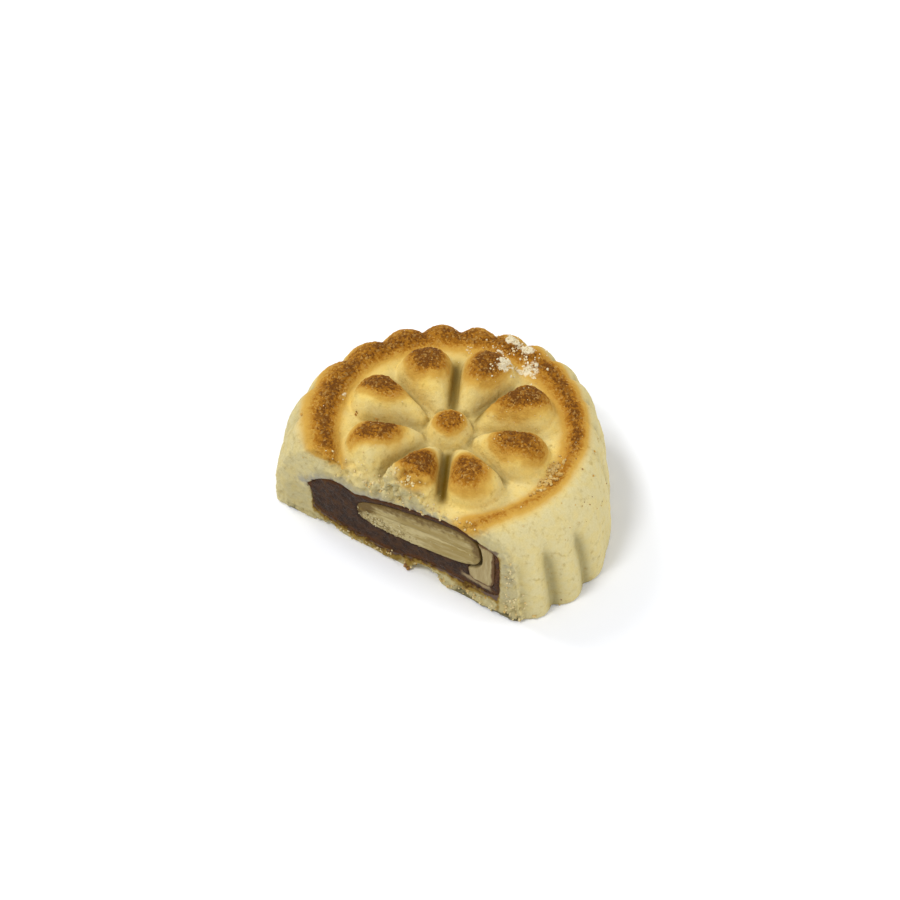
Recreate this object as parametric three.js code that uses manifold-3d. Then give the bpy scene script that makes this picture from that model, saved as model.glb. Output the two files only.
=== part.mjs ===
// Filled biscuit pressed in a round flower mould, with a slice cut off its front.
// Millimetres, +Z up. The round's axis is Z, it rests on z = 0, and the cut face looks along -Y.
// Four solids: the dough, the date paste in it, an almond sliced lengthwise and a piece of a second almond.
import * as THREE from "three";
import { mergeVertices } from "three/addons/utils/BufferGeometryUtils.js";
import Module from "manifold-3d";

const wasm = await Module();
wasm.setup();

const { clamp, degToRad, euclideanModulo, lerp, radToDeg, smoothstep } = THREE.MathUtils;
const UP = new THREE.Vector3(0, 0, 1);

// The round and the cut
const SEGMENTS = 120;
const CUT_Y = -13.68; // plane of the cut
const GAP = 0.3; // air left between a piece and the pocket it sits in
const RIM_R = 18.1; // crown of the raised ring
const RIM_Z = 15.9;
const BASE_R = 24.2; // mean radius where the side meets the base
const SHOULDER = 2.3; // roundness of the side between crown and base: 2 is an ellipse
const FOOT_R = 0.6; // rounding of the bottom edge

// Unevenness of the round, as waves of its radius: [waves per turn, amount, angle of the crest]
const UNEVEN = [
  [1, 0.74, -84],
  [2, 0.37, -25],
  [3, 0.31, -31],
  [4, 0.44, -4],
  [5, 0.34, -6],
];
const RIM_DENT = { angle: 214, spread: 32, depth: 0.8 }; // ring's crown pushed inwards on the left

// Pressed relief of the top
const FLOOR_Z = 14.3; // grooves between petals
const MOAT_Z = 14.9; // flat between petals and ring
const MOAT_R = 15.6;
const RING_HALF_WIDTH = 1.25;
// Radius and height above the grooves of the button's outline, from its foot to its middle
const BUTTON = [[3.35, 0], [3, 1.05], [2.6, 2], [2, 2.65], [1.2, 3], [0, 3.15]];
const PETALS = {
  count: 8,
  firstAngle: 6, // centre line of one petal
  tipR: 3.5, // pointed end
  tipRound: 0.9,
  fullR: 8.5, // from here out it has its full height
  heartR: 11, // point its outline is drawn round
  widestR: 11.7,
  endR: 15.3, // round end
  halfWidth: 4.1,
  grooveHalf: 0.5,
  tipRise: 2.35,
  rise: 4.25,
  crown: 2.5, // power of the rounding on top of the cross-section
  flank: 0.56, // power of its steepness at the edge: 0.5 stands upright
};
const ROOT = 1.2; // how far petals and button reach down into the body

// Flutes of the side: cusped valleys between convex lobes
const FLUTES = {
  count: 24,
  firstAngle: -4.5, // one of the valleys
  drift: 0.75, // lobes by which the valleys run ahead behind
  driftFrom: 15,
  driftSpan: 205,
  cusp: 0.75,
  depth: 0.95,
  fadeFromR: 18.4,
  fadeToR: 20.6,
};
const NOTCH = 0.4; // how far a valley also dips where it meets the ring, against its depth
// Stretch where the flutes fade out below the ring: full depth up to fromZ, none above toZ
const FADED_FLUTES = { angle: -12, spread: 55, less: 0.95, fromZ: 8.5, toZ: 14 };
const DEEP_FLUTES = { angle: -20, spread: 25, extra: 0.55 };
const SHALLOW_FLUTES = { angle: 215, spread: 38, less: 0.4 };
const MERGED_FLUTE = { angle: 10.5, spread: 7, less: 0.75 };
const CROWDED_FLUTE = { angle: -33, spread: 6, shift: 0.25, less: 0.5 };
const TURNED_FLUTES = { angle: -4, spread: 12, shift: 0.1 };
// Stretch where the valleys lean: degrees by which they turn for each millimetre they rise
const LEANING_FLUTES = { angle: -8, spread: 30, perMm: 0.2 };

// Crust pressed down and torn along the cut, and chips broken out of the bottom edge
const DROOP_FROM_Z = 8;
const EDGE_DROOP = { width: 2.2, depth: 0.8 };
const TORN = { x: 0.5, spread: 3, width: 2.6, depth: 1 };
const CHIPS = [
  { x: 5.1, width: 5.2, depth: 2.6, height: 3.4 },
  { x: -11.5, width: 4.6, depth: 1.8, height: 1.3 },
];

// Date paste: its outline on the cut, left to right as [x, z], and the plainer lump behind it
const PASTE_ROOF = [
  [-14.9, 7.2],
  [-12.4, 9.6],
  [-10, 10.2],
  [-6.6, 9.9],
  [0, 11.8],
  [5, 12.9],
  [10, 13.4],
  [16.95, 12.4],
];
const PASTE_FLOOR = [
  [-14.9, 6.7],
  [-14.1, 3.4],
  [-12, 2.2],
  [0, 1.9],
  [3.5, 3],
  [16.95, 3],
];
const PASTE_FRONT = 3; // how far behind the cut that outline runs
const PASTE_OVERLAP = 0.5; // by which the front and the lump reach into each other
const PASTE = {
  x: 1.1,
  radius: 21.1,
  wall: 1.1, // least thickness of the dough round it
  midZ: 7.1,
  slope: 0.11, // rise of its middle to the right
  halfHeight: 4.4,
  squareness: 5,
};

// Almond sliced lengthwise, its flat on the cut face
const ALMOND = {
  x: 3.85,
  z: 8.75,
  halfLength: 10.4,
  halfHeight: 3,
  depth: 3.6,
  tilt: 9.5,
  squareness: 3.1,
  taper: 0.2, // how much higher than its middle it is at the right end
};
// Piece of a second almond that stands at the first one's right end
const ALMOND_PIECE = {
  x: 14.4,
  z: 8.6,
  halfLength: 2.2,
  halfHeight: 4,
  depth: 4.4,
  tilt: 0,
  squareness: 4.2,
  taper: 0,
};
const PASTE_BETWEEN = 0.55; // date paste left between the two almonds

const SLACK = 0.01; // by which two equal lengths may differ

// Fineness of the curved faces
const TOP_RADII = [0, 5, 10, 12.2, 13.3, 14.4, MOAT_R, 16.3, 17.1, RIM_R];
const STEPS = {
  side: 9,
  petal: 24,
  button: 28,
  pasteRows: 12,
  pasteTurn: 40,
  almondTurn: 22,
  almondRows: 14,
  chipTurn: 14,
  chipRows: 10,
};

/** Smallest signed difference of two angles in degrees. */
const angleBetween = (a, b) => euclideanModulo(a - b + 180, 360) - 180;

/** Bell curve of height 1 about an angle. */
const bell = (angle, { angle: middle, spread }) =>
  Math.exp(-((angleBetween(angle, middle) / spread) ** 2));

/** Half width of a petal at a distance along its centre line. */
function petalHalfWidth(along) {
  const { count, grooveHalf, halfWidth, widestR, endR, tipR, tipRound } = PETALS;
  const wedge = along * Math.tan(Math.PI / count) - grooveHalf;
  const past = clamp((along - widestR) / (endR - widestR), 0, 1);
  const before = clamp((tipR + tipRound - along) / tipRound, 0, 1);
  return Math.min(wedge, halfWidth * Math.sqrt(1 - past * past)) * Math.sqrt(1 - before * before);
}

/** Height of the top between the petals: grooves, moat and the inner flank of the ring. */
function topZ(r, angle) {
  const floor = lerp(FLOOR_Z, MOAT_Z, smoothstep(r, PETALS.widestR, MOAT_R));
  const crownR = RIM_R - RIM_DENT.depth * bell(angle, RIM_DENT);
  return floor + (RIM_Z - MOAT_Z) * Math.exp(-((Math.min(0, r - crownR) / RING_HALF_WIDTH) ** 2));
}

/** How deep the flutes are cut at an angle: 0 on a lobe, the full depth in a valley. */
function fluteDepth(angle) {
  const { count, firstAngle, drift, driftFrom, driftSpan, cusp, depth } = FLUTES;
  const along = clamp((euclideanModulo(angle, 360) - driftFrom) / driftSpan, 0, 1);
  const crowded = bell(angle, CROWDED_FLUTE);
  const turned = TURNED_FLUTES.shift * bell(angle, TURNED_FLUTES) - CROWDED_FLUTE.shift * crowded;
  const ahead = drift * Math.sin(Math.PI * along) ** 2 + turned;
  const lobe = ((angle - firstAngle) * count) / 360 + ahead;
  const valley = 1 - Math.abs(Math.sin(Math.PI * lobe)) ** cusp;
  const deeper = DEEP_FLUTES.extra * bell(angle, DEEP_FLUTES);
  const shallower = SHALLOW_FLUTES.less * bell(angle, SHALLOW_FLUTES);
  const merged = 1 - MERGED_FLUTE.less * bell(angle, MERGED_FLUTE);
  return valley * (depth + deeper - shallower) * merged * (1 - CROWDED_FLUTE.less * crowded);
}

/** Share of its depth that a flute has at a height and an angle. */
const fluteShare = (z, angle) =>
  1 - FADED_FLUTES.less * bell(angle, FADED_FLUTES) * smoothstep(z, FADED_FLUTES.fromZ, FADED_FLUTES.toZ);

/** Radius of the round relative to its mean, at an angle. */
function unevenness(angle) {
  const wave = ([waves, amount, crest]) => amount * Math.cos(degToRad(waves * (angle - crest)));
  return UNEVEN.reduce((sum, row) => sum + wave(row), 0);
}

/** Radius of the outside at a height and an angle. */
function sideRadius(z, angle) {
  const up = clamp((z - FOOT_R) / (RIM_Z - FOOT_R), 0, 1);
  const out = (1 - up ** SHOULDER) ** (1 / SHOULDER);
  const r = RIM_R + (BASE_R + unevenness(angle) - RIM_R) * out;
  const leant = angle + LEANING_FLUTES.perMm * z * bell(angle, LEANING_FLUTES);
  return r - fluteDepth(leant) * fluteShare(z, angle) * smoothstep(r, FLUTES.fadeFromR, FLUTES.fadeToR);
}

/** How far the crust has sunk towards the cut. */
function droop(x, y) {
  const edge = EDGE_DROOP.depth * smoothstep(CUT_Y + EDGE_DROOP.width - y, 0, EDGE_DROOP.width);
  const torn = TORN.depth * Math.exp(-(((x - TORN.x) / TORN.spread) ** 2))
    * smoothstep(CUT_Y + TORN.width - y, 0, TORN.width);
  return edge + torn;
}

/** Moves every vertex of a geometry whose axis is Z. move gets and changes a Vector3. */
function displaced(geometry, move) {
  const position = geometry.getAttribute("position");
  const v = new THREE.Vector3();
  for (let i = 0; i < position.count; i++) {
    move(v.fromBufferAttribute(position, i));
    position.setXYZ(i, v.x, v.y, v.z);
  }
  return geometry;
}

/** Closed manifold-3d solid of a three.js geometry. */
function solid(geometry) {
  const bare = geometry.clone().deleteAttribute("normal").deleteAttribute("uv");
  const merged = mergeVertices(bare, 1e-4);
  return new wasm.Manifold(
    new wasm.Mesh({
      numProp: 3,
      vertProperties: merged.getAttribute("position").array,
      triVerts: new Uint32Array(merged.index.array),
    }),
  );
}

/** One pressed petal, reaching down into the body. */
function petal(angle) {
  const { tipR, fullR, heartR, endR, tipRise, rise, crown, flank } = PETALS;
  const shares = [1, 0.975, 0.92, 0.83, 0.68, 0.45, 0]; // from the outline in to the heart
  const foot = [new THREE.Vector2(0, -1), new THREE.Vector2(1, -1)];
  const profile = [...foot, ...shares.map((share) => new THREE.Vector2(share, 1 - share))];
  const lathe = new THREE.LatheGeometry(profile, STEPS.petal).rotateX(Math.PI / 2);
  return displaced(lathe, (v) => {
    const share = Math.min(1, Math.hypot(v.x, v.y));
    const turn = Math.atan2(v.y, v.x);
    const edgeU = (tipR + endR) / 2 + ((endR - tipR) / 2) * Math.cos(turn);
    const along = heartR + share * (edgeU - heartR);
    const across = share * Math.sign(Math.sin(turn)) * petalHalfWidth(edgeU);
    const crest = lerp(tipRise, rise, smoothstep(along, tipR - 1, fullR));
    const z = v.z < 0 ? -ROOT : crest * (1 - share ** crown) ** flank;
    v.set(along, across, FLOOR_Z + z).applyAxisAngle(UP, degToRad(angle));
    v.z -= droop(v.x, v.y);
  });
}

/** The button in the middle of the flower. */
function button() {
  const foot = [[0, -ROOT], [BUTTON[0][0], -ROOT]];
  const profile = [...foot, ...BUTTON].map(([r, rise]) => new THREE.Vector2(r, FLOOR_Z + rise));
  return new THREE.LatheGeometry(profile, STEPS.button).rotateX(Math.PI / 2);
}

/** The pressed round without its flower, before the cut. */
function roundBody() {
  const profile = TOP_RADII.map((r) => new THREE.Vector2(r, RIM_Z));
  for (let i = 1; i <= STEPS.side; i++) {
    const a = (Math.PI / 2) * (1 - i / STEPS.side);
    const out = Math.cos(a) ** (2 / SHOULDER);
    const up = Math.sin(a) ** (2 / SHOULDER);
    profile.push(new THREE.Vector2(RIM_R + (BASE_R - RIM_R) * out, FOOT_R + (RIM_Z - FOOT_R) * up));
  }
  profile.push(new THREE.Vector2(BASE_R - FOOT_R, 0), new THREE.Vector2(0, 0));
  const lathe = new THREE.LatheGeometry(profile.reverse(), SEGMENTS).rotateX(Math.PI / 2);
  return displaced(lathe, (v) => {
    const r = Math.hypot(v.x, v.y);
    const angle = radToDeg(Math.atan2(v.y, v.x));
    if (v.z > RIM_Z - SLACK) {
      v.z = topZ(r, angle);
    } else if (r > 0) {
      const inset = v.z > 0 ? 0 : FOOT_R;
      v.multiply(new THREE.Vector3(1, 1, 0).multiplyScalar((sideRadius(v.z, angle) - inset) / r).setZ(1));
      v.z -= NOTCH * fluteDepth(angle) * fluteShare(v.z, angle) * smoothstep(v.z, FOOT_R, RIM_Z);
    }
    if (v.z > DROOP_FROM_Z) v.z -= droop(v.x, v.y);
  });
}

/** The date paste near the cut: its outline there, grown by a margin and run backwards. */
function pasteFront(margin) {
  const left = PASTE_ROOF[0][0];
  const right = PASTE_ROOF.at(-1)[0];
  const spread = (x) => x + margin * ((2 * (x - left)) / (right - left) - 1);
  const roof = PASTE_ROOF.map(([x, z]) => new THREE.Vector2(spread(x), z + margin));
  const floor = PASTE_FLOOR.map(([x, z]) => new THREE.Vector2(spread(x), z - margin));
  const outline = new THREE.Shape([...floor, ...roof.reverse()]);
  const depth = 2 * (PASTE_FRONT + PASTE_OVERLAP);
  return new THREE.ExtrudeGeometry(outline, { depth, bevelEnabled: false })
    .rotateX(Math.PI / 2)
    .translate(0, CUT_Y + depth / 2, 0);
}

/** The lump of date paste farther back, grown by a margin on every side. */
function pasteLump(margin) {
  const { x, radius, wall, midZ, slope, halfHeight, squareness } = PASTE;
  const rows = STEPS.pasteRows;
  const profile = [];
  for (let i = 0; i <= rows; i++) {
    const a = Math.PI * (i / rows - 0.5);
    const c = Math.abs(Math.cos(a)) ** (2 / squareness);
    const s = Math.sign(a) * Math.abs(Math.sin(a)) ** (2 / squareness);
    profile.push(new THREE.Vector2(i % rows === 0 ? 0 : (radius + margin) * c, s));
  }
  const lathe = new THREE.LatheGeometry(profile, STEPS.pasteTurn).rotateX(Math.PI / 2);
  return displaced(lathe, (v) => {
    v.set(v.x + x, v.y, midZ + slope * v.x + v.z * (halfHeight + margin));
    const r = Math.hypot(v.x, v.y);
    const most = sideRadius(v.z, radToDeg(Math.atan2(v.y, v.x))) - wall + margin;
    if (r > most) v.set((v.x * most) / r, (v.y * most) / r, v.z);
  });
}

/** All of the date paste, grown by a margin on every side. */
const pasteBody = (margin) =>
  solid(pasteLump(margin))
    .subtract(solid(slice(CUT_Y + PASTE_FRONT - margin)))
    .add(solid(pasteFront(margin)));

/** An almond-shaped body on the cut plane, grown by a margin on every side. */
function almondBody(nut, margin) {
  const ball = new THREE.SphereGeometry(1, STEPS.almondTurn, STEPS.almondRows).rotateZ(Math.PI / 2);
  const power = 2 / nut.squareness;
  const blunt = (c) => Math.sign(c) * Math.abs(c) ** power;
  return displaced(ball, (v) => {
    const along = blunt(v.x);
    const halfHeight = (nut.halfHeight + margin) * (1 + nut.taper * along);
    v.set(along * (nut.halfLength + margin), blunt(v.y) * (nut.depth + margin), blunt(v.z) * halfHeight);
  })
    .rotateY(-degToRad(nut.tilt))
    .translate(nut.x, CUT_Y, nut.z);
}

/** Everything in front of an upright plane. */
function slice(y) {
  const size = 4 * BASE_R;
  return new THREE.BoxGeometry(size, size, size).translate(0, y - size / 2, 0);
}

/** A rounded bite out of the bottom edge at the cut. */
function chip({ x, width, depth, height }) {
  return new THREE.SphereGeometry(1, STEPS.chipTurn, STEPS.chipRows)
    .scale(width / 2, depth, height / 2)
    .translate(x, CUT_Y, 0);
}

/** A named mesh of a solid in one colour. */
function mesh(name, body, color, roughness) {
  const { vertProperties, triVerts } = body.getMesh();
  const geometry = new THREE.BufferGeometry()
    .setAttribute("position", new THREE.BufferAttribute(new Float32Array(vertProperties), 3))
    .setIndex(new THREE.BufferAttribute(new Uint32Array(triVerts), 1));
  geometry.computeVertexNormals();
  const made = new THREE.Mesh(geometry, new THREE.MeshStandardMaterial({ color, roughness, metalness: 0 }));
  made.name = name;
  return made;
}

const knife = solid(slice(CUT_Y));
const almond = solid(almondBody(ALMOND, 0)).subtract(knife);
const almondPiece = solid(almondBody(ALMOND_PIECE, 0))
  .subtract(knife)
  .subtract(solid(almondBody(ALMOND, PASTE_BETWEEN + GAP)));
const piecePocket = solid(almondBody(ALMOND_PIECE, GAP)).subtract(solid(almondBody(ALMOND, PASTE_BETWEEN)));
const paste = pasteBody(0)
  .subtract(knife)
  .subtract(solid(almondBody(ALMOND, GAP)))
  .subtract(piecePocket);
let flower = solid(button());
for (let i = 0; i < PETALS.count; i++) {
  flower = flower.add(solid(petal(PETALS.firstAngle + (360 / PETALS.count) * i)));
}
const whole = solid(roundBody()).add(flower).subtract(knife).subtract(pasteBody(GAP));
const dough = CHIPS.reduce((body, size) => body.subtract(solid(chip(size))), whole);

const group = new THREE.Group();
group.name = "date_filled_biscuit";
group.add(
  mesh("dough", dough, 0xd9c08a, 0.85),
  mesh("date_filling", paste, 0x42302b, 0.6),
  mesh("almond", almond, 0xb5a06a, 0.65),
  mesh("almond_piece", almondPiece, 0xb3a283, 0.7),
);

export default group;
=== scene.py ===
"""Looks of a date-filled biscuit that was pressed in a round flower mould and sliced across its front.

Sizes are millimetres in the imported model's frame: the round's axis is Z, it rests on z = 0 and the cut face
looks along -Y. Every finished mesh is scaled to metres.
"""

import logging
import math
from dataclasses import dataclass
from enum import Enum
from typing import Callable

import bmesh
import bpy
import numpy as np
from mathutils import Matrix, Vector
from mathutils.bvhtree import BVHTree

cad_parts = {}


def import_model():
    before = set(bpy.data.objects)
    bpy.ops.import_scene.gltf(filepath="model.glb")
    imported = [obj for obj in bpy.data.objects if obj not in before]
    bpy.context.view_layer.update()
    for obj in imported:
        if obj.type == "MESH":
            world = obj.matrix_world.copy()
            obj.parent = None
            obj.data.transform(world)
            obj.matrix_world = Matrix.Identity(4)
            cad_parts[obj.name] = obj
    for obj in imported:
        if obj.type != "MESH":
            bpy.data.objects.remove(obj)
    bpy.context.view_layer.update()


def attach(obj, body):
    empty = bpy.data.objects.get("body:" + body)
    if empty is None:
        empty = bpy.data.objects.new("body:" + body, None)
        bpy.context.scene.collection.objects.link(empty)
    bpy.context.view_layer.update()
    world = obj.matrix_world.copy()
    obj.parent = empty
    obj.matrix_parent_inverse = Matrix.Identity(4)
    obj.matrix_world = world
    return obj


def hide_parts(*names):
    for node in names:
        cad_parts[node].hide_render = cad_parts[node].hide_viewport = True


LOG = logging.getLogger("biscuit")
METRE = 0.001  # one millimetre in the frame's unit
CUT_Y = -13.68

Array = np.ndarray
Colour = tuple[float, float, float]
Socket = bpy.types.NodeSocket


class Zone(Enum):
    """Point attributes that say how a spot of a piece looks."""

    TOAST = "toast"
    GOLD = "gold"
    STAIN = "stain"
    # The cut's greyer crumb, which also carries painted shade on the left side below the ring
    CUT = "cut"
    FLOUR = "flour"
    SHADE = "shade"
    # Pale streaks of the almond, and the painted highlight along its split
    STREAK_AND_HIGHLIGHT = "streak_and_highlight"
    # Painted shadow under the bottom edge of the cut
    UNDER_EDGE_SHADOW = "under_edge_shadow"
    # Painted shade in the creases, grooves and flute valleys
    CREASE = "crease_shade"
    SMUDGE = "smudge"


class Slot(Enum):
    """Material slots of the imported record."""

    DOUGH = "baked_dough"
    PASTE = "date_paste"
    NUT = "almond"


# ---------------------------------------------------------------------------------------------- numbers


def ease(value: Array, low: float, high: float) -> Array:
    """Steps smoothly from 0 at low to 1 at high.

    Args:
        value: Where to read the step.
        low: Where it is 0; it may lie above high.
        high: Where it is 1.

    Returns:
        The step at each value.
    """
    share = np.clip((value - low) / (high - low), 0.0, 1.0)
    return share * share * (3.0 - 2.0 * share)


def hump(offset: Array, spread: float) -> Array:
    """Bell curve of height 1 about an offset of 0."""
    return np.exp(-((offset / spread) ** 2))


def swing(angle: Array, other: float) -> Array:
    """Signed difference of two directions in degrees."""
    return (angle - other + 180.0) % 360.0 - 180.0


def polar(points: Array) -> tuple[Array, Array]:
    """Distance from the round's axis and direction in degrees."""
    return np.hypot(points[:, 0], points[:, 1]), np.degrees(np.arctan2(points[:, 1], points[:, 0]))


def soft_max(a: Array, b: Array, fillet: float) -> Array:
    """The greater of two heights, with the crease between them filled a little."""
    return 0.5 * (a + b + np.sqrt((a - b) ** 2 + fillet**2))


@dataclass(frozen=True)
class Swell:
    """A change of one size about a direction, seen from the round's axis."""

    angle: float
    spread: float
    amount: float

    def at(self, angle: Array) -> Array:
        """The change at each direction."""
        return self.amount * hump(swing(angle, self.angle), self.spread)


@dataclass(frozen=True)
class Ramp:
    """A smooth step from 0 at one value to 1 at another, which may be the lower one."""

    zero: float
    one: float

    def at(self, value: Array) -> Array:
        """The step at each value."""
        return ease(value, self.zero, self.one)


@dataclass(frozen=True)
class Hill:
    """A bell curve of height 1 about a value."""

    middle: float
    spread: float

    def at(self, value: Array) -> Array:
        """The curve at each value."""
        return hump(value - self.middle, self.spread)


def behind_cut(zero: float, one: float) -> Ramp:
    """A step between two depths behind the cut, to be read along Y."""
    return Ramp(CUT_Y + zero, CUT_Y + one)


@dataclass(frozen=True)
class Noise:
    """Repeatable unevenness over points in millimetres."""

    seed: int

    def _scatter(self, cells: Array, salt: int = 0) -> Array:
        """Gives each whole-numbered cell its own number from 0 to 1."""
        c = cells.astype(np.int64).view(np.uint64)
        primes = np.array([0x9E3779B97F4A7C15, 0xC2B2AE3D27D4EB4F, 0x165667B19E3779F9], np.uint64)
        mixed = (c * primes).sum(axis=-1, dtype=np.uint64)
        mixed = mixed + np.uint64((self.seed * 7919 + salt * 104729 + 1) * 2654435761 % 2**63)
        for shift in (29, 32):
            mixed = (mixed ^ (mixed >> np.uint64(shift))) * np.uint64(0xBF58476D1CE4E5B9)
        return (mixed >> np.uint64(40)).astype(float) / 2**24

    def smooth(self, points: Array, size: float) -> Array:
        """Rolling lumps.

        Args:
            points: Places in millimetres.
            size: Width of a lump.

        Returns:
            Numbers from -1 to 1.
        """
        scaled = points / size
        low = np.floor(scaled)
        share = scaled - low
        share = share * share * (3.0 - 2.0 * share)
        total = np.zeros(len(points))
        for corner in np.ndindex(2, 2, 2):
            weight = np.prod(np.where(np.array(corner) == 1, share, 1.0 - share), axis=1)
            total += weight * self._scatter(low + np.array(corner))
        return total * 2.0 - 1.0

    def rough(self, points: Array, size: float, layers: int = 3) -> Array:
        """Lumps with finer lumps on them.

        Args:
            points: Places in millimetres.
            size: Width of the largest lumps.
            layers: How many sizes of lump, each half as wide as the last.

        Returns:
            Numbers from about -1 to 1.
        """
        total = sum(Noise(self.seed + i).smooth(points, size / 2**i) * 0.6**i for i in range(layers))
        return total / sum(0.6**i for i in range(layers)) * 1.3

    def grains(self, points: Array, size: float) -> Array:
        """Distance from the nearest of scattered grains, in grain sizes.

        Args:
            points: Places in millimetres.
            size: Distance from grain to grain.

        Returns:
            0 in the middle of a grain, about 0.5 between grains.
        """
        scaled = points / size
        low = np.floor(scaled)
        nearest = np.full(len(points), 9.0)
        for step in np.ndindex(3, 3, 3):
            cell = low + np.array(step) - 1.0
            middle = cell + np.stack([self._scatter(cell, axis + 1) for axis in range(3)], axis=1)
            nearest = np.minimum(nearest, ((scaled - middle) ** 2).sum(axis=1))
        return np.sqrt(nearest)


# ------------------------------------------------------------------------------------------------ forms


@dataclass(frozen=True)
class Flower:
    """Eight pressed petals round a button."""

    count: int = 8
    first_angle: float = 6.0
    tip_r: float = 3.5
    tip_round: float = 0.9
    full_r: float = 8.5
    heart_r: float = 11.0
    widest_r: float = 11.7
    end_r: float = 15.3
    half_width: float = 4.1
    groove_half: float = 0.58
    tip_rise: float = 2.35
    rise: float = 4.25
    crown: float = 2.5
    flank: float = 0.56
    button_r: tuple[float, ...] = (0.0, 1.2, 2.0, 2.6, 3.0, 3.35)
    button_rise: tuple[float, ...] = (3.15, 3.0, 2.65, 2.0, 1.05, 0.0)

    def angles(self) -> Array:
        """Centre lines of the petals."""
        return self.first_angle + 360.0 / self.count * np.arange(self.count)

    def local(self, points: Array, angle: float) -> tuple[Array, Array]:
        """Distances along a petal's centre line and across it."""
        a = math.radians(angle)
        x, y = points[:, 0], points[:, 1]
        return x * math.cos(a) + y * math.sin(a), y * math.cos(a) - x * math.sin(a)

    def half_width_at(self, along: Array) -> Array:
        """Half width of a petal at a distance from the axis."""
        wedge = along * math.tan(math.pi / self.count) - self.groove_half
        past = np.clip((along - self.widest_r) / (self.end_r - self.widest_r), 0.0, 1.0)
        before = np.clip((self.tip_r + self.tip_round - along) / self.tip_round, 0.0, 1.0)
        return np.minimum(wedge, self.half_width * np.sqrt(1 - past**2)) * np.sqrt(1 - before**2)

    def share(self, along: Array, across: Array) -> Array:
        """How far out a spot of a petal lies: 0 at its heart, 1 on its outline."""
        turn = np.linspace(0.0, math.pi, 181)
        edge = (self.tip_r + self.end_r) / 2 + (self.end_r - self.tip_r) / 2 * np.cos(turn)
        half = np.maximum(self.half_width_at(edge), 0.0)
        bearing = np.maximum.accumulate(np.arctan2(half, edge - self.heart_r))
        towards = np.arctan2(np.abs(across), along - self.heart_r)
        reach = np.interp(towards, bearing, np.hypot(half, edge - self.heart_r))
        return np.hypot(across, along - self.heart_r) / np.maximum(reach, 1e-6)

    def height(self, points: Array) -> Array:
        """Height of the flower above the floor of the grooves."""
        r, _ = polar(points)
        best = np.interp(r, self.button_r, self.button_rise)
        for angle in self.angles():
            along, across = self.local(points, angle)
            inside = np.clip(self.share(along, across), 0.0, 1.0)
            crest = self.tip_rise + (self.rise - self.tip_rise) * ease(along, self.tip_r - 1, self.full_r)
            best = np.maximum(best, crest * (1 - inside**self.crown) ** self.flank)
        return best


@dataclass(frozen=True)
class CreaseShading:
    """Where painted shade darkens the creases between the forms of the crust, and how much."""

    span: float = 1.3
    amount: float = 0.31
    least: float = 0.3
    level: Ramp = Ramp(13.2, 14.2)
    inside: Ramp = Ramp(17.4, 16.4)
    groove_half: float = 0.8
    groove_start: Ramp = Ramp(2.8, 4.6)
    groove_end: Ramp = Ramp(14.6, 12.0)
    flute_amount: float = 1.1
    flute_power: float = 1.6
    flute_smooth: Ramp = Ramp(8.5, 13.0)
    flute_below: Ramp = Ramp(15.0, 13.0)
    flute_outside: Ramp = Ramp(17.0, 18.5)


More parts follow.
